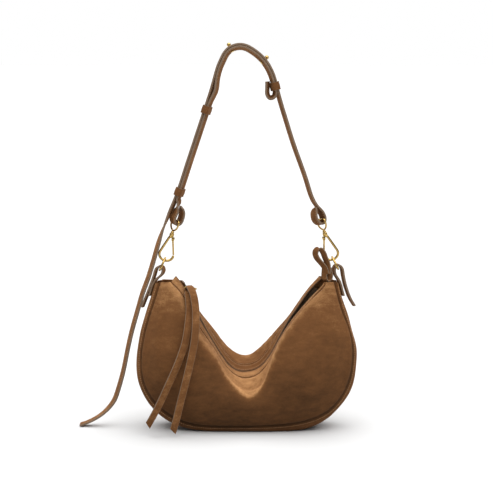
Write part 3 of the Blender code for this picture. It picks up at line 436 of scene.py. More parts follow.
def plate_material(colour):
    """Zinc die casting, polished and plated pale gold: bright with soft handling marks."""
    mat, tree, shader = new_material("zinc alloy, polished, pale gold plate", metallic=1.0,
                                     roughness=0.16)
    shader.inputs["Base Color"].default_value = colour
    where = add_node(tree, "ShaderNodeTexCoord").outputs["Object"]
    # handling marks of about 3 mm dull the polish in patches
    rub = add_node(tree, "ShaderNodeTexNoise", {"Vector": where, "Scale": 330.0, "Detail": 4.0})
    dull = add_node(tree, "ShaderNodeMapRange", {"Value": rub.outputs["Fac"], "From Min": 0.3,
                                                 "From Max": 0.75, "To Min": 0.1, "To Max": 0.27})
    tree.links.new(dull.outputs["Result"], shader.inputs["Roughness"])
    return mat


def weave_material(name, colour, pitch, roughness):
    """Plain woven polyester: dull, with threads crossing at right angles."""
    mat, tree, shader = new_material(name, roughness=roughness, IOR=1.54,
                                     Specular_IOR_Level=0.3, Sheen_Weight=0.15)
    where = add_node(tree, "ShaderNodeTexCoord").outputs["Object"]
    scale = 1 / pitch / 3.2
    warp = add_node(tree, "ShaderNodeTexWave", {"Vector": where, "Scale": scale},
                    bands_direction="X")
    weft = add_node(tree, "ShaderNodeTexWave", {"Vector": where, "Scale": scale},
                    bands_direction="Z")
    cross = add_node(tree, "ShaderNodeMath", {0: warp.outputs["Fac"], 1: weft.outputs["Fac"]},
                     operation="MULTIPLY")
    dark = tuple(c * 0.55 for c in colour[:3]) + (1.0,)
    ramp = add_node(tree, "ShaderNodeValToRGB", {"Fac": cross.outputs["Value"]},
                    stops=((0.0, dark), (0.6, colour)))
    tree.links.new(ramp.outputs["Color"], shader.inputs["Base Color"])
    bump = add_node(tree, "ShaderNodeBump", {"Height": cross.outputs["Value"], "Strength": 0.5,
                                             "Distance": 0.0003})
    tree.links.new(bump.outputs["Normal"], shader.inputs["Normal"])
    return mat


def floor_material(colour):
    """Matt painted board: pale, with no visible grain."""
    mat, tree, shader = new_material("matt painted board", roughness=0.9, IOR=1.45,
                                     Specular_IOR_Level=0.1)
    where = add_node(tree, "ShaderNodeTexCoord").outputs["Object"]
    roller = add_node(tree, "ShaderNodeTexNoise", {"Vector": where, "Scale": 3.0})
    dim = tuple(c * 0.985 for c in colour[:3]) + (1.0,)
    ramp = add_node(tree, "ShaderNodeValToRGB", {"Fac": roller.outputs["Fac"]},
                    stops=((0.3, dim), (0.7, colour)))
    tree.links.new(ramp.outputs["Color"], shader.inputs["Base Color"])
    return mat


def finish(name):
    """The material of that finish, made once from the scene's colours."""
    tag = "finish_" + name
    found = [m for m in bpy.data.materials if m.get("finish") == tag]
    if found:
        return found[0]
    c = bpy.context.scene.hobo_bag_colours
    low, mid, high = (tuple(v) for v in (c.suede_low, c.suede_mid, c.suede_high))
    makers = {
        # the last number is how much painted shade darkens the suede towards the bottom
        "suede": lambda: suede_material("cow suede, brushed", low, mid, high, 0.3),
        "strap": lambda: suede_material("cow suede, skived strap", low, mid, high, 0.0),
        "rim": lambda: suede_material("cow suede, gusset", low, mid, high, 0.16),
        "edge": lambda: cut_edge_material(tuple(c.cut_edge)),
        "thread": lambda: thread_material(tuple(c.thread)),
        "plate": lambda: plate_material(tuple(c.plate)),
        # tape threads are 0.35 mm apart and are drawn at 0.8 mm
        "tape": lambda: weave_material("polyester tape, woven", tuple(c.tape), 0.0008, 0.85),
        # lining threads are 0.3 mm apart and are drawn at 0.9 mm
        "lining": lambda: weave_material("cotton lining, woven", tuple(c.lining), 0.0009, 0.9),
        "floor": lambda: floor_material(tuple(c.floor)),
    }
    mat = makers[name]()
    mat["finish"] = tag
    return mat


def curve_through(points, count):
    """Natural cubic spline through points, at count even steps of length."""
    pts = np.asarray(points, float)
    t = np.concatenate([[0], np.cumsum(np.linalg.norm(np.diff(pts, axis=0), axis=1))])
    n = len(t)
    h = np.diff(t)
    system = np.eye(n)
    right = np.zeros_like(pts)
    for i in range(1, n - 1):
        system[i, i - 1:i + 2] = h[i - 1], 2 * (h[i - 1] + h[i]), h[i]
        right[i] = 6 * ((pts[i + 1] - pts[i]) / h[i] - (pts[i] - pts[i - 1]) / h[i - 1])
    bend = np.linalg.solve(system, right)
    at = np.linspace(0, t[-1], count)
    k = np.clip(np.searchsorted(t, at) - 1, 0, n - 2)
    a = ((t[k + 1] - at) / h[k])[:, None]
    b = ((at - t[k]) / h[k])[:, None]
    step = h[k][:, None] ** 2 / 6
    return (a * pts[k] + b * pts[k + 1]
            + ((a ** 3 - a) * bend[k] + (b ** 3 - b) * bend[k + 1]) * step)


def metres(points):
    return np.asarray(points, float) * MM


def upright(points, y=0.0):
    """Front-view (x, z) points in mm, as 3-D points in metres."""
    pts = metres(points)
    return np.column_stack([pts[:, 0], np.full(len(pts), y), pts[:, 1]])


def unit(v):
    return v / np.linalg.norm(v, axis=-1, keepdims=True)


def ease(x):
    x = np.clip(x, 0, 1)
    return x * x * (3 - 2 * x)


def lengths(line):
    """Distance along a line of points, from its start."""
    return np.concatenate([[0], np.cumsum(np.linalg.norm(np.diff(line, axis=0), axis=1))])


def points_at(line, want, at=None):
    """Points of a line at the wanted distances along it."""
    at = lengths(line) if at is None else at
    return np.column_stack([np.interp(want, at, line[:, k]) for k in range(3)])


def tangents(path, closed=False):
    if closed:
        return unit(np.roll(path, -1, axis=0) - np.roll(path, 1, axis=0))
    return unit(np.gradient(path, axis=0))


def placing(at, z_dir, y_dir=(0, 1, 0)):
    """Placing matrix with its own Z along z_dir and its own Y near y_dir."""
    z = Vector(z_dir).normalized()
    x = Vector(y_dir).cross(z).normalized()
    turn = Matrix((x, z.cross(x), z)).transposed()
    return Matrix.Translation(Vector(at)) @ turn.to_4x4()


def moved(shell, place):
    """A shell carried by a placing matrix."""
    points, faces, coats = shell
    turn = np.array(place)
    return np.asarray(points, float) @ turn[:3, :3].T + turn[:3, 3], faces, coats


def make_piece(name, shells, nodes, body, painted_light=None):
    """One object from closed shells of points, faces and each face's finish.

    painted_light gives the painted light of the first points: above 0 painted paler,
    below 0 painted darker, as painted shade.
    """
    points, faces, coats = [], [], []
    for verts, polys, coat in shells:
        shift = len(points)
        points += np.asarray(verts).tolist()
        faces += [[k + shift for k in poly] for poly in polys]
        coats += [coat] * len(polys) if isinstance(coat, str) else list(coat)
    mesh = bpy.data.meshes.new(name)
    mesh.from_pydata(points, [], faces)
    names = sorted(set(coats))
    for coat in names:
        mesh.materials.append(finish(coat))
    mesh.polygons.foreach_set("material_index", [names.index(c) for c in coats])
    mesh.polygons.foreach_set("use_smooth", [True] * len(faces))
    bm = bmesh.new()
    bm.from_mesh(mesh)
    bmesh.ops.recalc_face_normals(bm, faces=bm.faces)
    bm.to_mesh(mesh)
    bm.free()
    mesh.set_sharp_from_angle(angle=SHARP)
    # painted highlight, painted light and painted shade, stored per point
    if painted_light is not None:
        values = np.zeros(len(mesh.vertices), np.float32)
        values[:painted_light.size] = painted_light.ravel()
        mesh.attributes.new("painted_light", "FLOAT", "POINT").data.foreach_set("value", values)
    obj = bpy.data.objects.new(name, mesh)
    bpy.context.scene.collection.objects.link(obj)
    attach(obj, body)
    if nodes:
        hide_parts(*nodes)
    return obj


def slab(outer, inner, coat, rim):
    """Closed shell between two matching grids of points."""
    rows, cols = outer.shape[:2]
    count = rows * cols
    grid = np.arange(count).reshape(rows, cols)
    tops = np.stack([grid[:-1, :-1], grid[:-1, 1:], grid[1:, 1:], grid[1:, :-1]], -1)
    tops = tops.reshape(-1, 4)
    ring = np.concatenate([grid[0], grid[1:, -1], grid[-1, -2::-1], grid[-2:0:-1, 0]])
    after = np.roll(ring, -1)
    sides = np.stack([after, ring, ring + count, after + count], -1)
    faces = np.concatenate([tops, tops[:, ::-1] + count, sides]).tolist()
    points = np.concatenate([outer.reshape(-1, 3), inner.reshape(-1, 3)])
    return points, faces, [coat] * (2 * len(tops)) + [rim] * len(sides)


def swept(path, wide, section, coats, closed=False, scale=None):
    """Closed shell of a section swept along a path; the last coat is for the ends."""
    t = tangents(path, closed)
    out = unit(np.cross(t, np.broadcast_to(wide, path.shape)))
    w = unit(np.cross(out, t))
    sec = np.asarray(section, float)
    grow = np.ones((len(path), 2)) if scale is None else np.broadcast_to(scale, (len(path), 2))
    points = (path[:, None] + w[:, None] * sec[None, :, :1] * grow[:, None, :1]
              + out[:, None] * sec[None, :, 1:] * grow[:, None, 1:])
    return skinned(points, coats, closed)


def skinned(points, coats, closed=False):
    """Closed shell over rings of points."""
    rows, n = points.shape[:2]
    grid = np.arange(rows * n).reshape(rows, n)
    now, after = (grid, np.roll(grid, -1, axis=0)) if closed else (grid[:-1], grid[1:])
    quads = np.stack([now, np.roll(now, -1, axis=1), np.roll(after, -1, axis=1), after], -1)
    faces = quads.reshape(-1, 4).tolist()
    kinds = [coats] * (n + 1) if isinstance(coats, str) else coats
    finishes = list(kinds[:n]) * len(now)
    if not closed:
        faces += [grid[0, ::-1].tolist(), grid[-1].tolist()]
        finishes += [kinds[-1]] * 2
    return points.reshape(-1, 3), faces, finishes


def round_section(radius, sides=16):
    angle = np.arange(sides) * 2 * math.pi / sides
    return np.column_stack([np.cos(angle), np.sin(angle)]) * radius


def leather_section(width, thick, face="strap"):
    """A flat strip with softened corners and two creased lines on each face."""
    w, t = width / 2, thick / 2
    r = min(0.0005, 0.4 * t)
    line = w - EDGE_LINE
    marks = [(line + 0.0005, 0), (line, -LINE_DEPTH), (line - 0.0005, 0), (0, LINE_DEPTH)]
    marks = [] if width < CREASED_FROM else [(-a, b) for a, b in marks] + marks[-2::-1]
    half = []
    for middle, start in ((r - w, math.pi), (w - r, 1.5 * math.pi)):
        arc = [start + k * math.pi / 4 for k in range(3)]
        half += [(middle + r * math.cos(a), r - t + r * math.sin(a)) for a in arc]
    half = half[:3] + [(a, -t - b) for a, b in marks] + half[3:]
    coats = ["edge"] * 2 + [face] * (len(marks) + 1) + ["edge"] * 3
    return half + [(-a, -b) for a, b in half], coats * 2 + ["edge"]


def turned(profile, place, coat="plate", sides=40):
    """Closed shell turned about its own Z from (radius, height) points in mm."""
    points, rings, faces = [], [], []
    for r, z in profile:
        n = 1 if r == 0 else sides
        rings.append(range(len(points), len(points) + n))
        for k in range(n):
            a = 2 * math.pi * k / sides
            points.append((r * MM * math.cos(a), r * MM * math.sin(a), z * MM))
    for low, high in zip(rings, rings[1:]):
        for k in range(sides):
            m = (k + 1) % sides
            quad = [low[k % len(low)], low[m % len(low)], high[m % len(high)],
                    high[k % len(high)]]
            faces.append(list(dict.fromkeys(quad)))
    return moved((points, faces, coat), place)


def hoop(radius, count):
    angle = np.arange(count) * 2 * math.pi / count
    return np.column_stack([radius * np.cos(angle), radius * np.sin(angle), 0 * angle])


def stitches(line, normal, pitch):
    """Threads laid along a line of points, each dipping into the leather at its ends."""
    at = lengths(line)
    section = round_section(THREAD_R, 6)
    shells = []
    for k in range(int(at[-1] / pitch)):
        want = (k + np.array([0.12, 0.24, 0.5, 0.76, 0.88])) * pitch
        lift = points_at(normal, want, at) * THREAD_R * np.array([[-0.8, 0.1, 0.3, 0.1, -0.8]]).T
        scale = np.array([[0.3, 1, 1, 1, 0.3]]).T
        shells.append(swept(points_at(line, want, at) + lift, points_at(normal, want, at), section,
                            "thread", scale=scale))
    return shells


def across(rails, rounding):
    """Points across the panel through the rails, with its folds rounded off.

    The last FACING_N steps cover the strip along the zip.
    """
    line = np.stack(rails, axis=1)
    fine = []
    for row in line:
        at = lengths(row)
        fine.append(points_at(row, np.linspace(0, at[-1], FINE), at))
    fine = np.stack(fine)
    for _ in range(rounding):
        fine[:, 1:-1] = (fine[:, :-2] + 2 * fine[:, 1:-1] + fine[:, 2:]) / 4
    out = []
    for row in fine:
        at = lengths(row)
        split = at[-1] - min(FACING_W, 0.4 * at[-1])
        want = np.concatenate([np.linspace(0, split, PANEL_N + 1),
                               np.linspace(split, at[-1], FACING_N + 1)[1:]])
        out.append(points_at(row, want, at))
    return np.stack(out)


def half_shell(seam, fold, lip, rounding):
    """One panel with its facing, from the seam over the fold to the lip."""
    side = np.sign(seam[:, 1:2])
    height = np.linalg.norm(seam - fold, axis=1, keepdims=True)
    out = np.concatenate([0 * side, side, 0 * side], axis=1) * height * PILLOW
    low = seam * 0.7 + fold * 0.3 + out * 0.84
    mid = seam * 0.35 + fold * 0.65 + out * 0.91
    return across([seam, low, mid, fold, lip], rounding)


def body_tube(count):
    """Closed tube of points round the bag: front, back and gusset in turn."""
    rails = [curve_through(metres(r), count) for r in (SEAM, KEEL, CREASE, RIDGE, FRONT_LIP,
                                                       BACK_LIP)]
    seam, keel, crease, ridge, front_lip, back_lip = rails
    front = half_shell(seam, crease, front_lip, FRONT_ROUNDING)
    back = half_shell(seam * np.array([1, -1, 1]), ridge, back_lip, BACK_ROUNDING)[:, ::-1]
    q = np.linspace(1, -1, GUSSET_N)
    fill = np.clip(1 - np.abs(q) ** GUSSET_FLAT, 0, 1) ** 0.6
    gusset = np.empty((count, GUSSET_N, 3))
    for axis in (0, 2):
        low = seam[:, axis:axis + 1]
        gusset[:, :, axis] = low + (keel[:, axis:axis + 1] - low) * fill
    gusset[:, :, 1] = -seam[:, 1:2] * q
    gusset[:, :, 2] = np.maximum(gusset[:, :, 2], 0.0)
    tube = np.concatenate([front, back, gusset[:, 1:-1]], axis=1)
    along = np.gradient(tube, axis=0)
    around = np.roll(tube, -1, axis=1) - np.roll(tube, 1, axis=1)
    return tube, unit(np.cross(along, around))


def slack(grid, seed):
    """Soft unevenness of filled leather: broad waves and smaller dents."""
    flat = grid.reshape(-1, 3)
    shift = Vector((seed, 2 * seed, 0))
    broad = np.array([noise.noise(Vector(p) * 17 + shift) for p in flat])
    small = np.array([noise.noise(Vector(p) * 48 + shift) for p in flat])
    return (broad * WAVE + small * DENT).reshape(grid.shape[:2])


def hill(x, middle, width):
    return np.exp(-((x - middle) / width) ** 2)


def spans(grid):
    """Distance of every point of a grid from its row's first point."""
    step = np.linalg.norm(np.diff(grid, axis=1), axis=2)
    return np.concatenate([np.zeros((len(grid), 1)), np.cumsum(step, axis=1)], axis=1)


def relief(grid, folds, depth, seed):
    """Height of seams, folds and slack over half of the body, from seam to lip."""
    from_seam = spans(grid)
    from_lip = from_seam[:, -1:] - from_seam
    along = lengths(grid[:, 0])[:, None]
    x = grid[:, :, 0] / MM
    height = -depth * hill(from_seam, 0, 0.0017) + 0.35 * depth * hill(from_seam, 0.0052, 0.003)
    ripple = np.sin(along * 2 * math.pi / PUCKER + 2.5 * np.sin(along * 31))
    height += PUCKER_HEIGHT * ripple * hill(from_seam, 0.003, 0.0065)
    height -= 0.7 * depth * hill(from_lip, FACING_W, 0.0011)
    height += 0.0004 * ease((FACING_W - from_lip) / 0.0015)
    for at, high, wide, middle, reach in folds:
        bend = at + 0.9 * np.sin(x / 9 + at)
        height += high * MM * hill(from_lip / MM, bend, wide) * hill(x, middle, reach)
    free = ease(from_seam / 0.02) * ease((from_lip - FACING_W) / 0.02)
    return height + slack(grid, seed) * free


def shaped_body(sizes):
    """Tube of the body with seams, folds and slack, its normals and the column groups."""
    tube, normals = body_tube(sizes.stations)
    half = PANEL_N + FACING_N + 1
    height = np.zeros(tube.shape[:2])
    height[:, :half] = relief(tube[:, :half], FRONT_FOLDS, sizes.seam_depth, 3.0)
    back = tube[:, half:2 * half][:, ::-1]
    height[:, half:2 * half] = relief(back, BACK_FOLDS, sizes.seam_depth, 9.0)[:, ::-1]
    rim = np.concatenate([tube[:, 2 * half - 1:], tube[:, :1]], axis=1)
    from_back = spans(rim)
    from_front = from_back[:, -1:] - from_back
    bead = sum(-0.8 * sizes.seam_depth * hill(d, 0, 0.0010) + BEAD * hill(d, 0.0030, 0.0016)
               for d in (from_back, from_front))
    bead += slack(rim, 5.0) * 0.4 * ease(from_back / 0.012) * ease(from_front / 0.012)
    height[:, 2 * half:] = bead[:, 1:-1]
    shaped = tube + normals * height[:, :, None]
    shaped[:, :, 2] = np.maximum(shaped[:, :, 2], FLOOR_GAP)
    around = np.roll(shaped, -1, axis=1) - np.roll(shaped, 1, axis=1)
    return shaped, unit(np.cross(np.gradient(shaped, axis=0), around)), half


def body_parts(shaped, half):
    """Columns of each leather piece in the tube."""
    total = shaped.shape[1]
    return {
        "front_panel": list(range(0, PANEL_N + 1)),
        "front_facing": list(range(PANEL_N, half)),
        "back_facing": list(range(half, half + FACING_N + 1)),
        "back_panel": list(range(half + FACING_N, 2 * half)),
        "gusset": list(range(2 * half - 1, total)) + [0],
    }


def build_body(sizes):
    """Panels, facings and gusset with their stitching, and the end flaps."""
    shaped, normals, half = shaped_body(sizes)
    pitch = sizes.stitch_pitch
    for name, cols in body_parts(shaped, half).items():
        grid, normal = shaped[:, cols], normals[:, cols]
        coat = "rim" if name == "gusset" else "suede"
        shells = [slab(grid, grid - normal * sizes.panel_thickness, coat,
                       "edge" if "facing" in name else coat)]
        far = spans(grid)
        near = np.minimum(far, far[:, -1:] - far)
        # painted shade along every seam and along the slit
        painted_light = -SEAM_SHADE[name] * hill(near, 0, SEAM_SHADE_WIDTH)
        if name in FOLD_RAILS:
            rail = curve_through(metres(FOLD_RAILS[name]), sizes.stations)
            off = np.linalg.norm(grid - rail[:, None], axis=2)
            at_fold = np.take_along_axis(far, off.argmin(axis=1)[:, None], axis=1)
            inner = far - at_fold if name == "front_panel" else at_fold - far
            middle = hill(grid[:, :, 0], 0.004, SAG_REACH)
            # painted highlight along the fold
            painted_light += FOLD_PAINTED_HIGHLIGHT * hill(off, 0, FOLD_HIGHLIGHT_WIDTH) * (0.45 + 0.55 * middle)
            # painted light on the sagging middle, which faces up into the light
            painted_light += SAG_PAINTED_LIGHT[name] * middle * ease(inner / 0.010 + 0.3)
        elif "facing" in name:
            # painted light on the facings in the sagging middle
            painted_light += SAG_PAINTED_LIGHT[name] * hill(grid[:, :, 0], 0.004, SAG_REACH)
        if name.startswith("back"):
            grid, normal = grid[:, ::-1], normal[:, ::-1]
        width = spans(grid)[:, -1]
        if "facing" in name:
            lines = [STITCH_IN, width - STITCH_IN]
        elif name == "gusset":
            lines = [RIM_STITCH + 0 * width, width - RIM_STITCH]
        else:
            lines = [width - STITCH_IN]
        for want in lines:
            want = np.broadcast_to(want, width.shape)
            spots = np.array([points_at(r, [d])[0] for r, d in zip(grid, want)])
            ups = np.array([points_at(n, [d], lengths(r))[0]
                            for r, n, d in zip(grid, normal, want)])
            shells += stitches(spots[2:-2], ups[2:-2], pitch)
        make_piece("suede_" + name, shells, [name], "bag", painted_light)
    for name, row in (("end_flap_left", 0), ("end_flap_right", len(shaped) - 1)):
        build_end_flap(name, row, half)


def build_end_flap(name, row, half):
    """Closes a tip between the panels, just below their top edges."""
    tube, normals = body_tube(31 * 4)
    row = min(row, len(tube) - 1)
    inward = 1 if row == 0 else -1
    near = tube[row + 2 * inward] - normals[row + 2 * inward] * 0.0027
    loop = np.delete(near, slice(PANEL_N - 4, half + FACING_N + 5), axis=0)
    middle = loop.mean(axis=0)
    step = unit(tube[row + 4 * inward].mean(axis=0) - tube[row].mean(axis=0))
    loop = middle + (loop - middle) * 0.82
    rings = []
    for share, down in ((1, 0), (0.92, 0), (0.7, 0.0012), (0.4, 0.0024), (0.1, 0.0028)):
        rings.append(middle + (loop - middle) * share + step * down)
    under = [r + step * 0.0014 for r in rings[::-1]]
    shell = skinned(np.stack(rings + under)[:, ::-1], "strap", closed=True)
    make_piece("suede_" + name, [shell], [name], "bag")


def build_lining(sizes):
    """One open-topped sheet of lining cloth just inside the leather."""
    tube, normals = body_tube(sizes.stations)
    half = PANEL_N + FACING_N + 1
    cols = list(range(half + FACING_N, tube.shape[1])) + list(range(0, PANEL_N + 1))
    rows = np.arange(8, len(tube) - 8)
    surface = tube[np.ix_(rows, cols)] * np.array([1, 0.96, 1])
    normal = normals[np.ix_(rows, cols)]
    outer = surface - normal * (LINING_IN + slack(surface, 7.0)[:, :, None] * 0.3)
    inner = outer - normal * 0.0008
    shell = slab(outer[:, 1:-1], inner[:, 1:-1], "lining", "lining")
    make_piece("lining_cloth", [shell], ["lining"], "bag")


def build_zip(sizes):
    """Two woven tapes, the single teeth between them and the stops."""
    count = sizes.stations
    line = curve_through(metres(ZIP), count)
    tube, _ = body_tube(count)
    half = PANEL_N + FACING_N + 1
    along = tangents(line)
    reach = np.array([TEETH_W / 2 + 0.0004, TEETH_W / 2 + 0.0014, 0.0065, TAPE_W])
    far = FACING_N + 5
    for name, lip, inner, side in (("front", half - 1, half - 1 - far, 1),
                                   ("back", half, half + far, -1)):
        lateral = tube[:, inner] - tube[:, lip]
        lateral = unit(lateral - along * (lateral * along).sum(axis=1, keepdims=True))
        top = (line[:, None] + lateral[:, None] * reach[None, :, None])[4:-4]
        down = unit(np.cross(along, lateral))[4:-4, None] * side * TAPE_T / 2
        make_piece("woven_tape_" + name, [slab(top - down, top + down, "tape", "tape")],
                   ["zip_tape_" + name], "bag")
    at = lengths(line)
    shells = []
    for k in range(int((at[-1] - 2 * STOP_ROOM) / TOOTH_STEP)):
        where = [STOP_ROOM + k * TOOTH_STEP]
        centre = points_at(line, where, at)[0]
        t = points_at(along, where, at)[0]
        side = 1 if k % 2 else -1
        path = centre + np.array([[0, side * y * MM, 0] for y in (-2.3, -1.6, 0.5, 1.0)])
        shells.append(swept(path, t, TOOTH, "plate", scale=np.array([[0.8, 1, 1, 0.7]]).T))
    make_piece("brass_teeth", shells, ["zip_teeth"], "bag")
    for name in ("zip_stop_left", "zip_stop_right"):
        dress_node(name, "plate")


def dress_node(name, coat):
    """A CAD node that is shown as it is, with a finish of its own."""
    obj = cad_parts[name]
    obj.data.materials.clear()
    obj.data.materials.append(finish(coat))


def slider_place():
    """The slider's frame: its own X along the zip, its own Z outward."""
    start, end = (Vector((x * MM, 0, z * MM)) for x, _, z in (ZIP[0], ZIP[2]))
    travel = (end - start).normalized()
    out = Vector((-travel.z, 0, travel.x))
    at = start + travel * SLIDER_FROM
    turn = Matrix((travel, out.cross(travel), out)).transposed()
    return Matrix.Translation(at) @ turn.to_4x4()


def ring_centre():
    return slider_place() @ Vector((0, 0, SLIDER_HOLE)) + Vector((PULL_R, 0, 0))


def build_slider():
    """The saddle over the teeth with its arched bail, and the ring through it."""
    place = slider_place()
    profile = metres([(-3.7, 0.7), (-2.8, 0.7), (-2.8, 1.4), (2.8, 1.4), (2.8, 0.7), (3.7, 0.7),
                      (3.7, 1.9), (3.3, 2.3), (-3.3, 2.3), (-3.7, 1.9)])
    path = np.column_stack([np.linspace(-0.006, 0.006, 13), np.zeros(13), np.zeros(13)])
    waist = 1 - 0.16 * hill(np.linspace(-1, 1, 13), 0.9, 0.7)
    saddle = swept(path, np.array([0, 1, 0]), profile, "plate",
                   scale=np.column_stack([waist, np.ones(13)]))
    arch = curve_through(upright(BAIL), 48)
    bail = swept(arch, np.array([0, 1, 0]), round_section(0.0010), "plate")
    make_piece("cast_slider", [moved(saddle, place), moved(bail, place)], ["zip_slider"],
               "slider")
    loop = hoop(PULL_R, 72) + np.array(ring_centre())
    ring = swept(loop, np.array([0, 0, 1]), round_section(PULL_WIRE), "plate", closed=True)
    make_piece("wire_pull_ring", [ring], ["pull_ring"], "slider")


def build_tassel(sizes):
    """Two long strips folded through the ring, with a binding round the fold."""
    pivot = ring_centre() + Vector((0, -PULL_R, 0))
    loop = hoop(0.0031, 48)[:, [2, 0, 1]]
    section, coats = leather_section(0.0040, 0.0012)
    wrap = swept(loop, np.array([1, 0, 0]), section, coats, closed=True)
    make_piece("leather_binding", [moved(wrap, Matrix.Translation(pivot))], ["tassel_loop"],
               "tassels")
    for side, points, lean in (("left", TASSEL_L, 0.45), ("right", TASSEL_R, 0.30)):
        path = curve_through(metres(points), 220)
        t = tangents(path)
        flat = np.array([-1, -lean, 0.0])
        wide = unit(flat - t * (t @ flat)[:, None])
        section, coats = leather_section(sizes.tassel_width, TASSEL_T)
        at = lengths(path)
        out = np.cross(t, wide)
        share = np.linspace(0, 1, 200)
        narrow = 0.62 + 0.38 * ease(share * at[-1] / 0.022)
        points = np.empty((200, len(section), 3))
        for j, (a, b) in enumerate(section):
            want = share * (at[-1] - 0.006 - 0.73 * a)
            points[:, j] = (points_at(path, want, at)
                            + points_at(wide, want, at) * a * narrow[:, None]
                            + points_at(out, want, at) * b)
        make_piece("suede_tassel_" + side, [skinned(points, coats)], ["tassel_" + side],
                   "tassels")


def build_tabs():
    """Leather tabs round the D-rings, and the loops on the zip's end."""
    section, coats = leather_section(TAB_W, TAB_T)
    for side, points, turn in (("left", TAB_L, TAB_TURN), ("right", TAB_R, -TAB_TURN)):
        path = curve_through(upright(points), 150)
        wide = np.array([math.sin(turn), math.cos(turn), 0])
        make_piece("suede_ring_tab_" + side, [swept(path, wide, section, coats)],
                   ["ring_tab_" + side], "bag")
    section, coats = leather_section(END_TAB_W, END_TAB_T)
    wide = np.array([-math.sin(LOOP_TURN), math.cos(LOOP_TURN), 0])
    for kind, points, y in (("loop", END_LOOP, -0.0090), ("clip", END_CLIP, -0.0070)):
        path = curve_through(upright(points, y), 110)
        make_piece("suede_end_" + kind, [swept(path, wide, section, coats)],
                   ["end_tab_" + kind], "bag")


def build_rings():
    """Two D-rings: a straight bar in the tab, and a round bow above it."""
    for side, bar, hook in (("left", BAR_L, HOOK_L), ("right", BAR_R, HOOK_R)):
        bottom, collar = (Vector((x * MM, 0, z * MM)) for x, z in hook)
        top = bottom + (collar - bottom).normalized() * RING_TOP
        base = Vector((bar[0] * MM, 0, bar[1] * MM))
        h = (top - base).length / MM
        w = RING_HALF / MM
        right = [(w, 0.6), (w + 1, 2.4), (w + 0.8, h * 0.45), (w * 0.78, h * 0.8),
                 (w * 0.42, h * 0.955)]
        left = [(-y, z) for y, z in right]
        outline = [left[0], (1.6 - w, 0), (0, 0), (w - 1.6, 0), *right, (0, h), *left[::-1]]
        path = curve_through(metres([(0, y, z) for y, z in outline]), 120)[:-1]
        ring = swept(path, np.array([1, 0, 0]), round_section(RING_R), "plate", closed=True)
        make_piece("wire_d_ring_" + side, [moved(ring, placing(base, top - base))],
                   ["d_ring_" + side], "ring_" + side)


def plate_shell(outline, thick):
    """Flat plate in its own XZ plane with softened edges, outline in mm."""
    flat = upright(outline)
    middle = flat.mean(axis=0)
    rings = [middle + (flat - middle) * s + np.array([0, y * thick, 0])
             for s, y in ((0.88, -0.5), (1, -0.36), (1, 0.36), (0.88, 0.5))]
    return skinned(np.stack(rings), "plate")


def build_hooks():
    """Swivel hooks: bow, collar and ears, the sprung gate and the strap's eye."""
    for side, hook, inward in (("left", HOOK_L, 1), ("right", HOOK_R, -1)):
        bottom, collar = (Vector((x * MM, 0, z * MM)) for x, z in hook)
        place = placing(collar, collar - bottom)
        wide = np.array([0, 1, 0])
        path = curve_through(upright([(x * inward, z) for x, z in BOW]), 110)
        scale = np.ones((110, 2))
        scale[-3:] = [[0.93], [0.75], [0.45]]
        shells = [swept(path, wide, round_section(BOW_R), "plate", scale=scale),
                  turned(COLLAR, Matrix.Identity(4))]
        pivot = Vector((3.4 * inward, 0, -5.4)) * MM
        for k in (-1, 1):
            ear = plate_shell(EAR, 0.0012)
            shells.append(moved(ear, Matrix.Translation(pivot + Vector((0, k * 0.0024, 0)))))
        make_piece("cast_hook_" + side, [moved(s, place) for s in shells], ["hook_" + side],
                   "hook_" + side)
        dress_node("gate_pin_" + side, "plate")
        pin = place @ Matrix.Translation(pivot) @ Matrix.Rotation(math.pi / 2, 4, "X")
        end = Vector((9.75 * inward, 0, -26.0)) * MM - pivot
        arm = placing(pin.translation, place.to_3x3() @ end)
        long = end.length / MM
        gate = [turned(GATE_HEAD, pin), turned([(0, 0), (1.3, 0), (1.3, long - 0.5),
                                                (1.1, long - 0.1), (0.8, long), (0, long)], arm)]
        make_piece("cast_gate_" + side, gate, ["hook_gate_" + side], "gate_" + side)
        turn = place @ Matrix.Rotation(EYE_TURN, 4, "Z")
        path = curve_through(metres([(0, y, z) for y, z in EYE]), 110)[:-1]
        eye = swept(path, np.array([1, 0, 0]), round_section(0.0013), "plate", closed=True)
        make_piece("cast_eye_" + side, [moved(eye, turn), turned(POST, turn)],
                   ["hook_eye_" + side], "strap")


def width_at(path, angle):
    """Unit width vectors: the Y axis turned about the path by angle."""
    y = np.array([0.0, 1.0, 0.0])
    out = unit(np.cross(tangents(path), y))
    return y * np.cos(angle)[:, None] + out * np.sin(angle)[:, None]


def turn_end(path, wide, hook, side):
    """Turn a strap's end with the hook's eye, fading out up the strap."""
    bottom, collar = (Vector((x * MM, 0, z * MM)) for x, z in hook)
    axis = (collar - bottom).normalized()
    near = (path[:, 0] * side > 0) & (path[:, 2] < END_TURN_TOP)
    for i in np.flatnonzero(near):
        share = float(ease((END_TURN_TOP - path[i, 2]) / END_TURN_FADE))
        turn = Matrix.Rotation(EYE_TURN * share, 3, axis)
        path[i] = collar + turn @ (Vector(path[i]) - collar)
        wide[i] = wide[i] * (1 - share) + np.array(turn @ Vector((0, 1, 0))) * share


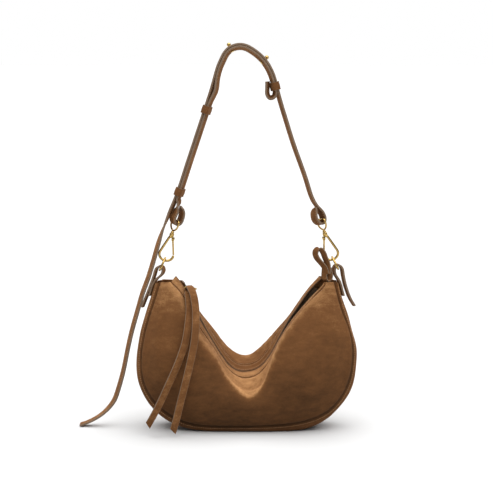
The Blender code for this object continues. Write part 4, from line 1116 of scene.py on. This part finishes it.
def strap_lines(sizes):
    """Both straps' paths and widths, with the long strap's outward side and the gap."""
    path = curve_through(upright(LONG_STRAP), 900)
    height = path[:, 2]
    tail = (path[:, 0] < 0) * ease((TAIL_TURN_TOP - height) / 0.06) * ease(height / LEVEL_UNDER)
    turn = TOP_TURN * ease(height / LEVEL_UNDER) + (TAIL_TURN - TOP_TURN) * tail
    wide = width_at(path, turn)
    out = unit(np.cross(wide, tangents(path)))
    top = int(np.argmax(height))
    first = int(np.argmin(np.abs(height[:top] - SHORT_TO)))
    last = top + int(np.argmin(np.abs(height[top:] - SHORT_FROM)))
    close = sizes.strap_thickness + STRAP_GAP
    apart = close + STRAP_BULGE * hill(height, 0.480, 0.012) * (path[:, 0] < 0)
    under = path - out * apart[:, None]
    short = np.concatenate([curve_through(upright(SHORT_FOLD)[::-1], 60),
                            under[first:last + 1],
                            curve_through(upright(SHORT_LOW)[::-1], 90)])
    short_wide = width_at(short, np.full(len(short), TOP_TURN))
    turn_end(path, wide, HOOK_R, 1)
    turn_end(short, short_wide, HOOK_L, -1)
    return path, wide, out, apart, short, short_wide


def edge_stitches(path, wide, sizes):
    """Rows of stitches near both edges, on both faces of a strap."""
    t = tangents(path)
    out = unit(np.cross(t, wide))
    shells = []
    for side in (-1, 1):
        for face in (-1, 1):
            inset = sizes.strap_width / 2 - EDGE_LINE
            line = (path + unit(wide) * side * inset
                    + out * face * (sizes.strap_thickness / 2 - LINE_DEPTH / 2))
            shells += stitches(line[3:-3], (out * face)[3:-3], sizes.stitch_pitch)
    return shells


def build_straps(sizes):
    """Both shoulder straps with their stitched edges."""
    path, wide, _, _, short, short_wide = strap_lines(sizes)
    section, coats = leather_section(sizes.strap_width, sizes.strap_thickness)
    for name, line, across_ in (("long", path, wide), ("short", short, short_wide)):
        shells = [swept(line, across_, section, coats)] + edge_stitches(line, across_, sizes)
        make_piece("suede_strap_" + name, shells, ["strap_" + name], "strap")


def nearest(path, spot):
    target = np.array([spot[0] * MM, 0, spot[1] * MM])
    return int(np.argmin(np.linalg.norm(path - target, axis=1)))


def build_keepers(sizes):
    """Leather sleeves round the two straps, and the studs that join them."""
    path, wide, out, apart, _, _ = strap_lines(sizes)
    t = tangents(path)
    half_w = sizes.strap_width / 2 + KEEPER_ROOM_W + KEEPER_T / 2
    half_t = sizes.strap_thickness + KEEPER_ROOM_T + KEEPER_T / 2
    corner = KEEPER_CORNER
    section, coats = leather_section(KEEPER_H, KEEPER_T)
    for k, (spot, body) in enumerate(zip(KEEPERS, ("lower_keeper", "upper_keeper", "strap"))):
        i = nearest(path, spot)
        angle = np.linspace(0, 2 * math.pi, 72, endpoint=False)
        loop = np.column_stack([
            np.sign(np.cos(angle)) * (half_w - corner) + corner * np.cos(angle),
            np.sign(np.sin(angle)) * (half_t - corner) + corner * np.sin(angle), 0 * angle])
        sleeve = swept(loop, np.array([0, 0, 1]), section, coats, closed=True)
        z, x = Vector(t[i]), Vector(wide[i])
        turn = Matrix((x, z.cross(x), z)).transposed().to_4x4()
        middle = Vector(path[i] - out[i] * apart[i] / 2)
        make_piece("suede_keeper_%d" % (k + 1), [moved(sleeve, Matrix.Translation(middle) @ turn)],
                   ["keeper_%d" % (k + 1)], body)
    build_studs(path, wide, out, sizes.strap_thickness)


def build_studs(path, wide, out, thickness):
    """Ball studs outside both straps, and the screws that hold them."""
    face = (thickness / 2 + STUD_FOOT) / MM
    inner = -3 * thickness / 2 / MM - 1.2
    ball = [(STUD_R / MM * math.cos(a), face + STUD_NECK + STUD_R / MM * math.sin(a))
            for a in np.linspace(-1.0, math.pi / 2, 14)[:-1]]
    profile = [(0, inner), (1.4, inner), (1.4, face), (3.0, face), (3.4, face + 0.3),
               (3.4, face + 0.8), (3.1, face + 1.1), (1.9, face + 1.4), (1.5, face + 2.0),
               *ball, (0, face + STUD_NECK + STUD_R / MM)]
    for k, spot in enumerate(STUDS):
        i = nearest(path, spot)
        place = placing(path[i], out[i], wide[i])
        make_piece("turned_stud_%d" % (k + 1), [turned(profile, place)], ["stud_%d" % (k + 1)],
                   "strap")
        dress_node("stud_screw_%d" % (k + 1), "plate")


def add_light(name, power, angle, direction):
    """A broad, even light from a direction, like a large softbox far away."""
    lamp = bpy.data.lights.new(name, "SUN")
    lamp.energy = power
    lamp.angle = angle
    obj = bpy.data.objects.new(name, lamp)
    bpy.context.scene.collection.objects.link(obj)
    obj.rotation_euler = (-Vector(direction)).to_track_quat("-Z", "Y").to_euler()


def add_floor():
    """A round pale floor."""
    mesh = bpy.data.meshes.new("studio_floor")
    ring = [(FLOOR_R * math.cos(a), FLOOR_R * math.sin(a), 0)
            for a in np.linspace(0, 2 * math.pi, FLOOR_SIDES + 1)[:-1]]
    mesh.from_pydata(ring, [], [range(FLOOR_SIDES)])
    mesh.materials.append(finish("floor"))
    floor = bpy.data.objects.new("studio_floor", mesh)
    bpy.context.scene.collection.objects.link(floor)


def add_world():
    """A world that is white at the back and dim at the front."""
    world = bpy.data.worlds.new("studio")
    world.use_nodes = True
    tree = world.node_tree
    where = add_node(tree, "ShaderNodeTexCoord").outputs["Generated"]
    depth = add_node(tree, "ShaderNodeSeparateXYZ", {"Vector": where})
    ramp = add_node(tree, "ShaderNodeMapRange", {"Value": depth.outputs["Y"], "From Min": 0.0,
                                                 "From Max": WORLD_FADE, "To Min": WORLD_FRONT,
                                                 "To Max": WORLD_BACK},
                    interpolation_type="SMOOTHSTEP")
    tree.links.new(ramp.outputs["Result"], tree.nodes["Background"].inputs["Strength"])
    tree.nodes["Background"].inputs["Color"].default_value = (1, 1, 1, 1)
    bpy.context.scene.world = world


def add_camera():
    """A long lens a little above level, straight in front."""
    data = bpy.data.cameras.new("camera")
    data.lens = CAMERA_LENS
    data.sensor_width = CAMERA_SENSOR
    camera = bpy.data.objects.new("camera", data)
    bpy.context.scene.collection.objects.link(camera)
    back = Vector((0, -math.cos(CAMERA_RISE), math.sin(CAMERA_RISE)))
    camera.location = Vector(CAMERA_AT) + back * CAMERA_FAR
    camera.rotation_euler = (-back).to_track_quat("-Z", "Y").to_euler()
    bpy.context.scene.camera = camera


def build_stage():
    """Floor, studio light, world and camera."""
    add_floor()
    for name, power, angle, direction in LIGHTS:
        add_light(name, power, angle, direction)
    add_world()
    bpy.context.scene.view_settings.view_transform = "Standard"
    add_camera()


class HOBO_OT_build_body(bpy.types.Operator):
    """Panels, facings, gusset and end flaps."""

    bl_idname = "hobo.build_body"
    bl_label = "Build Body"

    def execute(self, context):
        build_body(context.scene.hobo_bag_sizes)
        return {"FINISHED"}


class HOBO_OT_build_lining(bpy.types.Operator):
    """Lining cloth inside the body."""

    bl_idname = "hobo.build_lining"
    bl_label = "Build Lining"

    def execute(self, context):
        build_lining(context.scene.hobo_bag_sizes)
        return {"FINISHED"}


class HOBO_OT_build_zip(bpy.types.Operator):
    """Zip tapes, teeth and stops."""

    bl_idname = "hobo.build_zip"
    bl_label = "Build Zip"

    def execute(self, context):
        build_zip(context.scene.hobo_bag_sizes)
        return {"FINISHED"}


class HOBO_OT_build_slider(bpy.types.Operator):
    """Zip slider and its ring."""

    bl_idname = "hobo.build_slider"
    bl_label = "Build Slider"

    def execute(self, context):
        build_slider()
        return {"FINISHED"}


class HOBO_OT_build_tassel(bpy.types.Operator):
    """Strips and binding of the zip pull."""

    bl_idname = "hobo.build_tassel"
    bl_label = "Build Tassel"

    def execute(self, context):
        build_tassel(context.scene.hobo_bag_sizes)
        return {"FINISHED"}


class HOBO_OT_build_tabs(bpy.types.Operator):
    """Ring tabs and end loops."""

    bl_idname = "hobo.build_tabs"
    bl_label = "Build Tabs"

    def execute(self, context):
        build_tabs()
        return {"FINISHED"}


class HOBO_OT_build_rings(bpy.types.Operator):
    """D-rings in the tabs."""

    bl_idname = "hobo.build_rings"
    bl_label = "Build D-Rings"

    def execute(self, context):
        build_rings()
        return {"FINISHED"}


class HOBO_OT_build_hooks(bpy.types.Operator):
    """Swivel hooks, gates and eyes."""

    bl_idname = "hobo.build_hooks"
    bl_label = "Build Hooks"

    def execute(self, context):
        build_hooks()
        return {"FINISHED"}


class HOBO_OT_build_straps(bpy.types.Operator):
    """Both shoulder straps."""

    bl_idname = "hobo.build_straps"
    bl_label = "Build Straps"

    def execute(self, context):
        build_straps(context.scene.hobo_bag_sizes)
        return {"FINISHED"}


class HOBO_OT_build_keepers(bpy.types.Operator):
    """Keepers and ball studs."""

    bl_idname = "hobo.build_keepers"
    bl_label = "Build Keepers"

    def execute(self, context):
        build_keepers(context.scene.hobo_bag_sizes)
        return {"FINISHED"}


class HOBO_OT_build_stage(bpy.types.Operator):
    """Floor, light, world and camera."""

    bl_idname = "hobo.build_stage"
    bl_label = "Build Stage"

    def execute(self, context):
        build_stage()
        return {"FINISHED"}


OPERATORS = (
    HOBO_OT_build_body,
    HOBO_OT_build_lining,
    HOBO_OT_build_zip,
    HOBO_OT_build_slider,
    HOBO_OT_build_tassel,
    HOBO_OT_build_tabs,
    HOBO_OT_build_rings,
    HOBO_OT_build_hooks,
    HOBO_OT_build_straps,
    HOBO_OT_build_keepers,
    HOBO_OT_build_stage,
)


class HOBO_PT_panel(bpy.types.Panel):
    """Lists the sizes, the colours and the pieces."""

    bl_label = "Hobo Bag"
    bl_idname = "HOBO_PT_panel"
    bl_space_type = "VIEW_3D"
    bl_region_type = "UI"
    bl_category = "Hobo Bag"

    def draw(self, context):
        scene = context.scene
        for group in (scene.hobo_bag_sizes, scene.hobo_bag_colours):
            for key in group.__annotations__:
                self.layout.prop(group, key)
        for operator in OPERATORS:
            self.layout.operator(operator.bl_idname)


CLASSES = (HoboBagSizes, HoboBagColours, *OPERATORS, HOBO_PT_panel)


def register():
    for cls in CLASSES:
        bpy.utils.register_class(cls)
    bpy.types.Scene.hobo_bag_sizes = PointerProperty(type=HoboBagSizes)
    bpy.types.Scene.hobo_bag_colours = PointerProperty(type=HoboBagColours)


def unregister():
    del bpy.types.Scene.hobo_bag_colours
    del bpy.types.Scene.hobo_bag_sizes
    for cls in reversed(CLASSES):
        bpy.utils.unregister_class(cls)


def main():
    register()
    for operator in OPERATORS:
        group, name = operator.bl_idname.split(".")
        if getattr(getattr(bpy.ops, group), name)() != {"FINISHED"}:
            raise RuntimeError(operator.bl_idname + " didn't finish")


if __name__ == "__main__":
    main()
